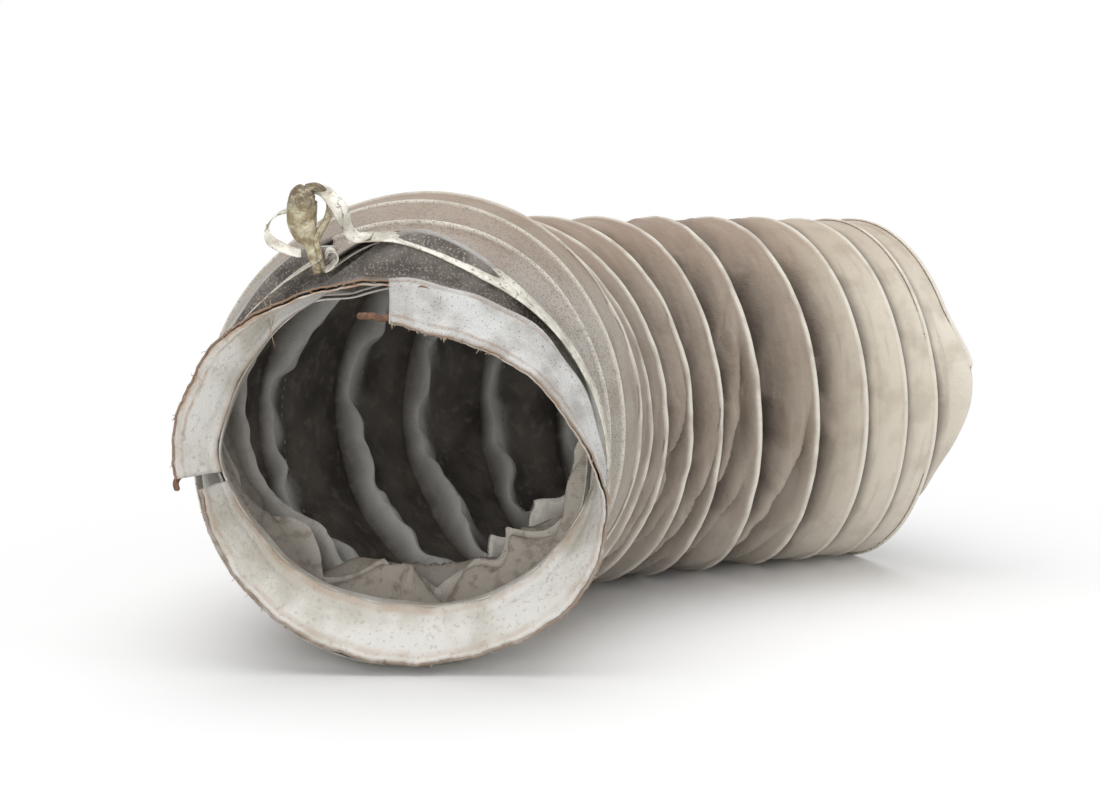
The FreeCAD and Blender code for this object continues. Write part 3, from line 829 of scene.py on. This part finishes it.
def outward(point):
    """The direction straight away from the axis of the mouth."""
    out = np.array([point[0], 0, point[2] - MOUTH_Z])
    return out / np.linalg.norm(out)


def ease(value, start, end):
    share = min(max((value - start) / (end - start), 0.0), 1.0)
    return share * share * (3 - 2 * share)


def ragged(degrees, size):
    """The small unevenness of a torn cloth edge."""
    a = math.radians(degrees)
    return size * (0.5 * math.sin(23 * a) + 0.3 * math.sin(57 * a + 1.3) + 0.2 * math.sin(131 * a))


def torn_point(table, degrees, size):
    """A point on a torn edge."""
    radius, depth = edge_at(table, degrees)
    return rim_point(degrees, radius + ragged(degrees, size), depth + ragged(degrees + 40, 0.5))


def cut_edge_point(degrees):
    return torn_point(CUT_EDGE, degrees, 0.3)


def seam_point(degrees):
    return rim_point(degrees, *edge_at(SEAM, degrees))


print("cut edge", len(CUT_EDGE), "rows, seam", len(SEAM), "rows")


# %% Helper: a strip of cloth from rows of points
def new_piece(name, points, faces, material):
    """A smooth mesh object from points in mm."""
    mesh = bpy.data.meshes.new(name)
    mesh.from_pydata((np.array(points) * MM).tolist(), [], faces)
    mesh.polygons.foreach_set("use_smooth", [True] * len(mesh.polygons))
    mesh.materials.append(material)
    return new_object(name, mesh)


def running_length(points):
    """How far along a line each of its points lies."""
    return np.concatenate([[0], np.cumsum(np.linalg.norm(np.diff(points, axis=0), axis=1))])


def grid_mesh(name, rows, material, masks):
    """A sheet through rows of points in mm. Each mask has a value from 0 to 1 for every point."""
    rows = np.array(rows)
    count, across = rows.shape[:2]
    faces = []
    for i in range(count - 1):
        for j in range(across - 1):
            corner = i * across + j
            faces.append((corner, corner + 1, corner + across + 1, corner + across))
    piece = new_piece(name, rows.reshape(-1, 3), faces, material)
    mesh = piece.data
    length = running_length(rows[:, 0])
    width = running_length(rows[0])
    uv = mesh.uv_layers.new(name="UVMap")
    for loop in mesh.loops:
        i, j = divmod(loop.vertex_index, across)
        uv.data[loop.index].uv = (length[i] * MM, width[j] * MM)
    for mask_name, values in masks.items():
        mask = mesh.attributes.new(mask_name, "FLOAT", "POINT")
        mask.data.foreach_set("value", np.array(values, dtype=np.float32).reshape(-1))
    return piece


def push(rows, distance):
    """Moves a sheet of points along its own normals, outwards from the duct."""
    along = np.gradient(rows, axis=0)
    across = np.gradient(rows, axis=1)
    normal = np.cross(across, along)
    normal /= np.maximum(np.linalg.norm(normal, axis=2, keepdims=True), 1e-9)
    away = rows - np.array([0, 0, MOUTH_Z])
    away[:, :, 1] = 0
    side = np.sign(np.sum(normal * away, axis=2, keepdims=True))
    return rows + normal * side * distance


# %% [markdown]
# The cloth of the front turns is cleaner than the rest, because it was covered by the pipe it
# sat on. Its free edges are brown with rust and frayed, and its outside has black specks. The
# second turn is darker on its upper side: the flap left of the tear is dirty, and the band
# behind the seam, under the strap, is painted shade.

# %% Materials for the front turns
rim_outside, tree, shader = new_material("speckled rim cloth")
grime_and_shade = painted(tree, "dirt")
base = layered(tree, colour(206, 206, 204), [
    (mottle(tree, 90, 0.4, 0.66), (172, 169, 164)),
    (mottle(tree, 2400, 0.60, 0.66) * 0.7, (84, 77, 70)),
    # this mask darkens the flap with dirt and the band behind the seam under the strap with painted shade
    (grime_and_shade * (mottle(tree, 150, 0.3, 0.6) * 0.4 + 0.6), (136, 127, 118)),
    (grime_and_shade * grime_and_shade * (mottle(tree, 110, 0.35, 0.6) * 0.5 + 0.5), (70, 62, 56)),
    (grime_and_shade * mottle(tree, 1800, 0.54, 0.62) * 0.5, (176, 170, 160)),
    (painted(tree, "edge") * (mottle(tree, 260, 0.25, 0.6) * 0.6 + 0.3), (146, 116, 90))])
grain = weave(tree, 0.0009) * 0.15 + mottle(tree, 700, 0.3, 0.7) * 0.5
fill(tree, shader, {"Base Color": base, "Roughness": 0.62, "Normal": bump(tree, grain, 0.0003, 0.8)})

rim_inside, tree, shader = new_material("pale rim lining")
base = layered(tree, colour(222, 220, 214), [
    (mottle(tree, 60, 0.42, 0.68), (188, 182, 170)),
    (mottle(tree, 900, 0.57, 0.66) * 0.35, (150, 138, 122)),
    (painted(tree, "edge") * (mottle(tree, 200, 0.3, 0.62) * 0.7 + 0.2), (170, 134, 104))])
grain = weave(tree, 0.0009) * 0.15 + mottle(tree, 700, 0.3, 0.7) * 0.3
fill(tree, shader, {"Base Color": base, "Roughness": 0.5, "Normal": bump(tree, grain, 0.0003, 0.9)})
print("made", rim_outside.name, "and", rim_inside.name)

# %% Front turn: from the cut end at the top to the tear on the left
ACROSS = 19
WIRE_SHARE = 0.80


def small_waves(share, degrees):
    waves = 0.35 * math.sin(math.radians(degrees * 7)) * math.sin(math.pi * share)
    return waves + 0.25 * math.sin(math.radians(degrees * 17 + 60)) * share


def on_strip(share, mixed, front, rear):
    """A point between two edges. mixed sets its place across, share its depth."""
    point = front + (rear - front) * mixed
    point[1] = front[1] + (rear[1] - front[1]) * share
    return point


def strip_rows(angles, front_of, rear_of, blend_of, bead, trim=0.0, reach=1.0):
    """Points across a strip for each angle, with a bead over the wire near the rear edge."""
    rows = []
    masks = []
    for degrees in angles:
        front = front_of(degrees)
        rear = rear_of(degrees)
        row = []
        mask = []
        for share in np.linspace(trim, reach, ACROSS):
            point = on_strip(share, blend_of(share, degrees), front, rear)
            lift = bead * math.exp(-((share - WIRE_SHARE) / 0.07) ** 2) + small_waves(share, degrees)
            row.append(point + outward(point) * lift)
            frayed = max(0.0, 1 - share * 14)
            stitched = max(0.0, 1 - abs(share - 0.167) * 20) * 0.8
            stained = max(0.0, 1 - abs(share - 0.97) * 12) * 0.7
            mask.append(frayed + stitched + stained)
        rows.append(row)
        masks.append(mask)
    return np.array(rows), np.array(masks)


def front_turn_rows(bead, trim, reach):
    return strip_rows(np.arange(-4.5, 265.6, 1.2), cut_edge_point, lambda d: seam_point(d + 360),
                      lambda share, d: share, bead, trim, reach)


rows, mask = front_turn_rows(1.5, 0.0, 1.07)
front_outer = grid_mesh("front_turn_outer_ply", push(rows, 0.4), rim_outside, {"edge": mask})
rows, mask = front_turn_rows(0.3, 0.03, 1.05)
front_inner = grid_mesh("front_turn_inner_ply", push(rows, -0.6), rim_inside, {"edge": mask})
print("front turn:", len(front_outer.data.polygons), "faces")

# %% Second turn: the flap left of the tear, then once round under the strap
SEAM_START = 355
TUCK_DEPTH = 4.0
CROWN_HEIGHT = 8.0


def flap_front(degrees):
    return torn_point(FLAP_EDGE, degrees, 0.35) if degrees < SEAM_START else seam_point(degrees)


def flap_rear(degrees):
    ring = duct_point(degrees / 360 + 1, math.radians(degrees), -0.7)
    joined = ease(degrees, 330, 362)
    return seam_point(degrees + 360 if degrees < 360 else 720) * (1 - joined) + ring * joined


def flap_blend(share, degrees):
    """The flap is plain. Behind the seam the cloth steps up under the strap."""
    stepped = ease(share, 0.26, 0.56)
    joined = ease(degrees, 335, 365)
    return share * (1 - joined) + stepped * joined


def tucked_under(degrees):
    """1 where the second turn has gone in under the third, 0 before."""
    return ease(degrees, 688, 704)


second_angles = np.arange(268.5, 718.0, 1.3)


def second_turn_rows(bead):
    """The second turn, lifted over the crown and tucked under the skin at its end."""
    rows, masks = strip_rows(second_angles, flap_front, flap_rear, flap_blend, bead)
    for i, degrees in enumerate(second_angles):
        if degrees > 640:
            crown = CROWN_HEIGHT * max(math.cos(math.radians(degrees)), 0) ** CROWN_SHARPNESS
            tucked = tucked_under(degrees)
            for j, share in enumerate(np.linspace(0, 1, ACROSS)):
                lift = crown * ease(share, 0.1, 0.35) * (1 - ease(share, 0.5, 1.0))
                lift = lift * (1 - tucked) - TUCK_DEPTH * tucked
                rows[i, j] += outward(rows[i, j]) * lift
    masks[second_angles > 362] *= 0.35
    return rows, masks


# Darker on the upper side: dirt on the flap left of the tear, and painted shade on the band behind the
# seam, under the strap.
dirt = []
for degrees in second_angles:
    upper_half = ease(math.cos(math.radians(degrees - 350)), -0.3, 0.6)
    flap_dirt = 0.6 + 0.35 * ease(degrees, 300, 350)
    under_strap = ease(degrees, 346, 372)
    for share in np.linspace(0, 1, ACROSS):
        behind_seam = ease(share, 0.18, 0.34) * (1 - 0.75 * ease(share, 0.6, 0.8))
        dirt.append(upper_half * (flap_dirt * (1 - under_strap) + behind_seam * under_strap))
rows, mask = second_turn_rows(1.2)
second_outer = grid_mesh("second_turn_outer_ply", push(rows, 0.3), rim_outside,
                         {"edge": mask, "dirt": dirt})
rows, mask = second_turn_rows(0.2)
second_inner = grid_mesh("second_turn_inner_ply", push(rows, -0.8), rim_inside, {"edge": mask})
for piece, node, slot_name in ((front_outer, "front_rim_outer_ply", "rim_cloth"),
                               (front_inner, "front_rim_inner_ply", "rim_cloth"),
                               (second_outer, "neck_outer_ply", "outer_cloth"),
                               (second_inner, "neck_liner", "inner_cloth")):
    give_thickness(piece, 0.45 * MM, 0.0)
    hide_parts(node)
    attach(piece, "front_end")
print("second turn:", len(second_outer.data.polygons), "faces")

# %% [markdown]
# ## Tubes and ribbons
# The broken wire, the split pin and the frayed yarn are tubes along a few given points. The
# strap is a ribbon, drawn between two lines of points. Where a point was judged, it is
# given as the place in the picture where the camera sees it and its depth, and this helper
# turns that into a place on the object. The picture is 1100 by 800.


# %% Helpers: points as the camera sees them, a smooth line, a tube and a ribbon
def seen(*places):
    """The points, in mm, that the camera sees at places (across, down, depth) of the picture."""
    focal = PICTURE_WIDTH * camera_data.lens / camera_data.sensor_width
    eye = np.array(camera.location) / MM
    cos, sin = math.cos(CAMERA_TILT), math.sin(CAMERA_TILT)
    points = []
    for across, down, depth in places:
        ahead = depth - eye[1]
        k = (PICTURE_HEIGHT / 2 - down) / focal
        rise = ahead * (cos * k - sin) / (cos + sin * k)
        reach = cos * ahead - sin * rise
        x = eye[0] + (across - PICTURE_WIDTH / 2) / focal * reach
        points.append(np.array([x, depth, eye[2] + rise]))
    return points


def smooth_line(points, steps=8):
    """A smooth line through the points."""
    points = np.array(points, dtype=float)
    padded = np.vstack([2 * points[0] - points[1], points, 2 * points[-1] - points[-2]])
    line = []
    for i in range(1, len(padded) - 2):
        a, b, c, d = padded[i - 1:i + 3]
        for step in range(steps):
            t = step / steps
            line.append(0.5 * (2 * b + (c - a) * t + (2 * a - 5 * b + 4 * c - d) * t ** 2
                               + (3 * b - a - 3 * c + d) * t ** 3))
    line.append(padded[-2])
    return np.array(line)


def tube(name, points, radii, material, sides=10, flatten=1.0):
    """A closed tube along a smooth line. The radii are spread evenly over the points."""
    line = smooth_line(points)
    size = np.interp(np.linspace(0, 1, len(line)), np.linspace(0, 1, len(radii)), radii)
    vertices = []
    faces = []
    side = np.array([0.0, 1.0, 0.0])
    for i, point in enumerate(line):
        ahead = line[min(i + 1, len(line) - 1)] - line[max(i - 1, 0)]
        ahead /= np.linalg.norm(ahead)
        if abs(np.dot(side, ahead)) > 0.95:
            side = np.array([1.0, 0.0, 0.0])
        side = side - ahead * np.dot(side, ahead)
        side /= np.linalg.norm(side)
        other = np.cross(ahead, side)
        round_off = 0.55 if i in (0, len(line) - 1) else 1.0
        for k in range(sides):
            a = 2 * math.pi * k / sides
            ring = side * math.cos(a) * flatten + other * math.sin(a)
            vertices.append(point + ring * size[i] * round_off)
            if i < len(line) - 1:
                here = i * sides + k
                beside = i * sides + (k + 1) % sides
                faces.append((here, beside, beside + sides, here + sides))
    faces.append(tuple(reversed(range(sides))))
    faces.append(tuple(range(len(vertices) - sides, len(vertices))))
    return new_piece(name, vertices, faces, material)


def join_pieces(name, pieces):
    """One object from several, for pieces that are the same item."""
    with bpy.context.temp_override(active_object=pieces[0], selected_editable_objects=pieces):
        bpy.ops.object.join()
    pieces[0].name = name
    return pieces[0]


print("tube and ribbon helpers ready")

# %% Broken wire of the front turn
stub = seen((357, 316, 3.5), (372, 316, 4.5), (388, 317, 6.0))
hidden = []
for degrees in range(4, 262, 6):
    point = cut_edge_point(degrees) * (1 - WIRE_SHARE) + seam_point(degrees + 360) * WIRE_SHARE
    hidden.append(point + outward(point) * (0.72 + small_waves(WIRE_SHARE, degrees)))
rim_wire = tube("broken_front_wire", stub + hidden, [0.85], wire_steel, 8)
line = seen((177, 491, 11), (178, 478, 11.5))
for degrees in range(274, 698, 6):
    point = on_strip(WIRE_SHARE, flap_blend(WIRE_SHARE, degrees), flap_front(degrees), flap_rear(degrees))
    shift = 0.55 + small_waves(WIRE_SHARE, degrees) - TUCK_DEPTH * tucked_under(degrees)
    line.append(point + outward(point) * shift)
second_wire = tube("second_turn_wire", line, [0.8], wire_steel, 8)
for piece, node in ((rim_wire, "front_rim_wire"), (second_wire, "neck_wire")):
    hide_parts(node)
    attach(piece, "front_end")
print("wire end sticks out at", stub[0].round(1))

# %% [markdown]
# ## Seam stitches of the second turn
# The tape seam of the front turns is sewn too. One small stitch is repeated along it.

# %% Stitches on the second turn
stitches = []
for degrees in np.arange(372, 716, 2.4):
    ends = []
    for turned in (degrees, degrees + 1.3):
        here = seam_point(turned) * 0.82 + flap_rear(turned) * 0.18
        ends.append(here - outward(here) * 1.15)
    stitches.append(tube("stitch", ends, [0.2], thread, 4))
neck_stitches = join_pieces("second_turn_stitches", stitches)
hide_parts("neck_thread")
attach(neck_stitches, "front_end")
print("stitches:", len(stitches))

# %% [markdown]
# ## Strap and split pin
# A thin tinned steel strap goes round the neck. Its ends were threaded through a split pin
# that was turned like the key of a tin, so they stand up beside the pin, twisted and bent.
# The strap is bright where it is rubbed, with dark specks of dirt.

# %% Materials for strap and pin
strap_steel, tree, shader = new_material("rubbed tinned strap")
metal = layered(tree, colour(226, 223, 212), [
    (mottle(tree, 150, 0.35, 0.65), (176, 170, 156)),
    (mottle(tree, 800, 0.58, 0.66) * 0.7, (88, 79, 68))])
fill(tree, shader, {
    "Base Color": metal, "Metallic": 0.35, "Roughness": mottle(tree, 300, 0.3, 0.7) * 0.3 + 0.35,
    "Normal": bump(tree, mottle(tree, 900, 0.3, 0.7), 0.0002, 0.6)})

pin_steel, tree, shader = new_material("tarnished split pin")
# the pin is darker and browner towards its top
darker_top = height_of(tree).ramp(0.0610, 0.0670) * 0.7 + 0.12
metal = layered(tree, colour(206, 198, 170), [
    (mottle(tree, 420, 0.42, 0.62), (160, 146, 116)),
    (darker_top * (mottle(tree, 700, 0.3, 0.55) * 0.7 + 0.3), (92, 74, 58))])
fill(tree, shader, {
    "Base Color": metal, "Metallic": 0.45, "Roughness": mottle(tree, 380, 0.3, 0.7) * 0.35 + 0.35,
    "Normal": bump(tree, mottle(tree, 700, 0.3, 0.7), 0.0004)})
print("made", strap_steel.name, "and", pin_steel.name)

# %% Strap
# angle from the top, radius of the front edge and of the rear edge
STRAP_EDGES = [(-14, 59.4, 61.6), (-9, 58.9, 61.0), (-3, 58.2, 60.6), (5.5, 55.9, 58.9),
               (13, 53.9, 57.7), (22, 52.4, 56.6), (31, 52.0, 54.9), (42, 51.8, 53.4),
               (60, 51.4, 52.6), (90, 51.4, 52.6), (130, 51.6, 52.8), (180, 51.6, 52.2),
               (220, 52.4, 53.2), (260, 54.2, 54.4), (300, 56.0, 55.8), (325, 56.6, 57.4),
               (339, 57.6, 59.0)]
STRAP_FRONT = 14.0
STRAP_REAR = 22.0
STRAP_THICKNESS = 0.35 * MM
STRAP_POINTS_ACROSS = 5


def ribbon(name, front_line, rear_line):
    """A thin metal ribbon between two lines of points."""
    rows = [np.linspace(front, rear, STRAP_POINTS_ACROSS) for front, rear in zip(front_line, rear_line)]
    piece = grid_mesh(name, rows, strap_steel, {})
    give_thickness(piece, STRAP_THICKNESS, 0.0)
    rolled_edge = piece.modifiers.new("rolled edge", "BEVEL")
    rolled_edge.width = 0.08 * MM
    rolled_edge.segments = 1
    return piece


angles, front_radii, rear_radii = zip(*STRAP_EDGES)
front_line = []
rear_line = []
for degrees in np.arange(-14, 339.1, 2.0):
    front_line.append(rim_point(degrees, np.interp(degrees, angles, front_radii), STRAP_FRONT))
    rear_line.append(rim_point(degrees, np.interp(degrees, angles, rear_radii), STRAP_REAR))
band = ribbon("strap_band", front_line, rear_line)

# the end that comes from the right, twists on edge, stands up and lies over the eye of the pin
upper = seen((374, 232, 22), (360, 232, 20), (352, 225, 17), (348, 207, 15.5), (338, 195, 16.5),
             (327, 186, 19), (316, 185, 22))
lower = seen((370, 238, 14), (357, 243, 14), (346, 237, 13.5), (338, 222, 13), (329, 207, 14),
             (320, 196, 16), (311, 193, 18.5))
right_end = ribbon("strap_right_end", smooth_line(lower), smooth_line(upper))

# the end that comes from the left makes a loop beside the pin and ends behind its eye
upper = seen((301, 249, 13), (296, 248, 13.5), (284, 243, 15), (271, 234, 17), (270, 222, 20),
             (280, 212, 23), (294, 206, 24))
lower = seen((301, 257, 11), (296, 257, 11.5), (283, 253, 12.5), (267, 244, 14), (265, 228, 17),
             (276, 216, 19), (292, 212, 20))
left_end = ribbon("strap_left_end", smooth_line(lower), smooth_line(upper))

# a short open curl right of the pin's legs, wound on the pin, so it turns with it
upper = seen((324, 268, 16), (330, 264, 17), (336, 256, 18), (334, 249, 19), (328, 248, 19),
             (325, 254, 18))
lower = seen((325, 273, 13), (331, 270, 13), (338, 261, 14), (336, 254, 15), (329, 253, 15),
             (326, 259, 14))
curl = ribbon("strap_curl", smooth_line(lower), smooth_line(upper))
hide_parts("clamp_strap")
for piece, body in ((band, "front_end"), (right_end, "front_end"), (left_end, "front_end"),
                    (curl, "clamp_key")):
    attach(piece, body)
print("strap ends:", right_end.name, left_end.name, curl.name)

# %% Split pin
bulb_line = seen((309, 243, 17.0), (305, 234, 17.0), (302, 222, 17.0), (302, 208, 17.2),
                 (304, 196, 17.4), (309, 189, 17.6))
eye_line = seen((305, 189, 17.6), (316, 187, 17.8), (325, 193, 18), (330, 205, 18), (327, 219, 18),
                (320, 231, 17.8), (314, 242, 17.6))
left_line = seen((307, 236, 17.0), (311, 250, 16.4), (315, 264, 15.6), (318, 275, 14.8))
right_line = seen((314, 236, 17.6), (317, 250, 17.4), (320, 263, 17.0), (324, 273, 16.6))
pin = join_pieces("key_pin", [
    tube("pin_bulb", bulb_line, [1.6, 3.2, 3.9, 4.0, 3.7, 2.2], pin_steel, 18, 0.6),
    tube("pin_eye", eye_line, [1.3, 1.2, 1.05, 1.0, 1.0, 1.1, 1.2], pin_steel, 12),
    tube("pin_left_leg", left_line, [1.6, 1.35, 1.2, 1.0], pin_steel, 12),
    tube("pin_right_leg", right_line, [1.4, 1.2, 1.1, 0.9], pin_steel, 12)])
skin = pin.modifiers.new("rounded", "SUBSURF")
skin.levels = 1
skin.render_levels = 1
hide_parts("split_pin")
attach(pin, "clamp_key")
print("pin eye near", eye_line[2].round(1))

# %% [markdown]
# ## Frayed yarn
# Where the tape was cut, loose glass yarns hang from its edges. They are thin tubes with a
# fixed random seed, mostly at the cut end, at the tear and above the gap on the left.

# %% Materials and tubes for the frayed yarn
fray, tree, shader = new_material("frayed yarn")
tint = layered(tree, colour(198, 186, 166), [(mottle(tree, 500, 0.4, 0.6), (150, 126, 100))])
fill(tree, shader, {"Base Color": tint, "Roughness": 0.8})
random = np.random.default_rng(7)
yarns = []
places = [(cut_edge_point, -4.5, 40, 26), (cut_edge_point, 225, 265, 16), (flap_front, 269, 352, 34),
          (cut_edge_point, 80, 215, 26)]
for edge, low, high, count in places:
    for degrees in random.uniform(low, high, count):
        root = edge(degrees)
        length = random.uniform(0.8, 2.4)
        drift = outward(root) * random.uniform(-0.5, 0.3)
        drift += np.array([random.uniform(-0.5, 0.5), -0.8, random.uniform(-0.5, 0.3)])
        tip = root + drift / np.linalg.norm(drift) * length
        middle = (root + tip) / 2 + random.uniform(-0.3, 0.3, 3)
        yarns.append(tube("yarn", [root, middle, tip], [0.11, 0.1, 0.06], fray, 4))
long_yarn = seen((262, 296, 12), (267, 310, 12), (270, 328, 12.5), (275, 348, 13))
yarns.append(tube("yarn", long_yarn, [0.16, 0.14, 0.12, 0.08], fray, 5))
short_yarn = seen((270, 300, 12), (273, 318, 12.5), (269, 336, 13))
yarns.append(tube("yarn", short_yarn, [0.16, 0.14, 0.08], fray, 5))
frays = join_pieces("frayed_yarn", yarns)
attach(frays, "front_end")
print("yarns:", len(yarns))

# %% [markdown]
# ## Table, light and background
# The duct lies on a plain pale table that fades into white. Large soft lamps above and in
# front give the flat light of a catalogue picture. The background is pure white for the
# camera and for reflections, without sending more light onto the duct.


# %% Table
def seen_by(tree, *kinds):
    """1 for these kinds of ray and 0 for all others."""
    light_path = tree.nodes.new("ShaderNodeLightPath")
    found = Num(tree, light_path.outputs[kinds[0]])
    for kind in kinds[1:]:
        found = found.at_least(Num(tree, light_path.outputs[kind]))
    return found


TABLE_HALF = 3
WHITE = (1, 1, 1, 1)
corners = [(-TABLE_HALF, -TABLE_HALF), (TABLE_HALF, -TABLE_HALF), (TABLE_HALF, TABLE_HALF),
           (-TABLE_HALF, TABLE_HALF)]
table_mesh = bpy.data.meshes.new("table")
table_mesh.from_pydata([(x, y, TABLE_Z * MM) for x, y in corners], [], [(0, 1, 2, 3)])
table = new_object("table", table_mesh)
table_white, tree, shader = new_material("table white")
fill(tree, shader, {"Base Color": (0.97, 0.97, 0.97, 1), "Roughness": 0.9})
place = add_node(tree, "ShaderNodeMapping", {"Vector": object_place(tree), "Location": (-0.06, -0.08, 0)})
distance = add_node(tree, "ShaderNodeVectorMath", {0: place.outputs[0]}, operation="LENGTH")
fade = Num(tree, distance.outputs["Value"]).ramp(0.10, 0.30)
white = add_node(tree, "ShaderNodeEmission", {"Color": WHITE})
faded = add_node(tree, "ShaderNodeMixShader", {
    0: fade * seen_by(tree, "Is Camera Ray", "Is Glossy Ray"), 1: shader.outputs[0],
    2: white.outputs[0]})
fill(tree, tree.nodes["Material Output"], {"Surface": faded.outputs[0]})
table_mesh.materials.append(table_white)
table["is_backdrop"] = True
print("table at", TABLE_Z, "mm")

# %% World and lamps
ROOM_LIGHT = 0.38
world = bpy.data.worlds.new("studio")
world.use_nodes = True
tree = world.node_tree
direct = seen_by(tree, "Is Camera Ray", "Is Glossy Ray", "Is Transmission Ray")
fill(tree, tree.nodes["Background"], {
    "Color": WHITE, "Strength": direct * (1 - ROOM_LIGHT) + ROOM_LIGHT})
bpy.context.scene.world = world


def lamp(name, place, aim, width, height, watts):
    data = bpy.data.lights.new(name, "AREA")
    data.shape = "RECTANGLE"
    data.size = width
    data.size_y = height
    data.energy = watts
    softbox = new_object(name, data)
    softbox.location = place
    softbox.rotation_euler = (Vector(aim) - Vector(place)).to_track_quat("-Z", "Y").to_euler()


lamp("overhead softbox", (0.0, 0.1, 1.0), (0.05, 0.08, 0), 1.2, 1.2, 8.5)
lamp("front softbox", (-0.15, -1.0, 0.35), (0.03, 0.05, 0), 0.8, 0.8, 4.4)
lamp("right softbox", (0.9, -0.3, 0.5), (0.05, 0.08, 0), 0.6, 0.8, 1.2)
bpy.context.scene.view_settings.view_transform = "Standard"

# %% [markdown]
# ## Sizes
# The box round the shown pieces, without the table, is printed in millimetres.

# %% Sizes
low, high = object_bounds()
print("visual box", [[round(v / MM, 1) for v in corner] for corner in (low, high)])
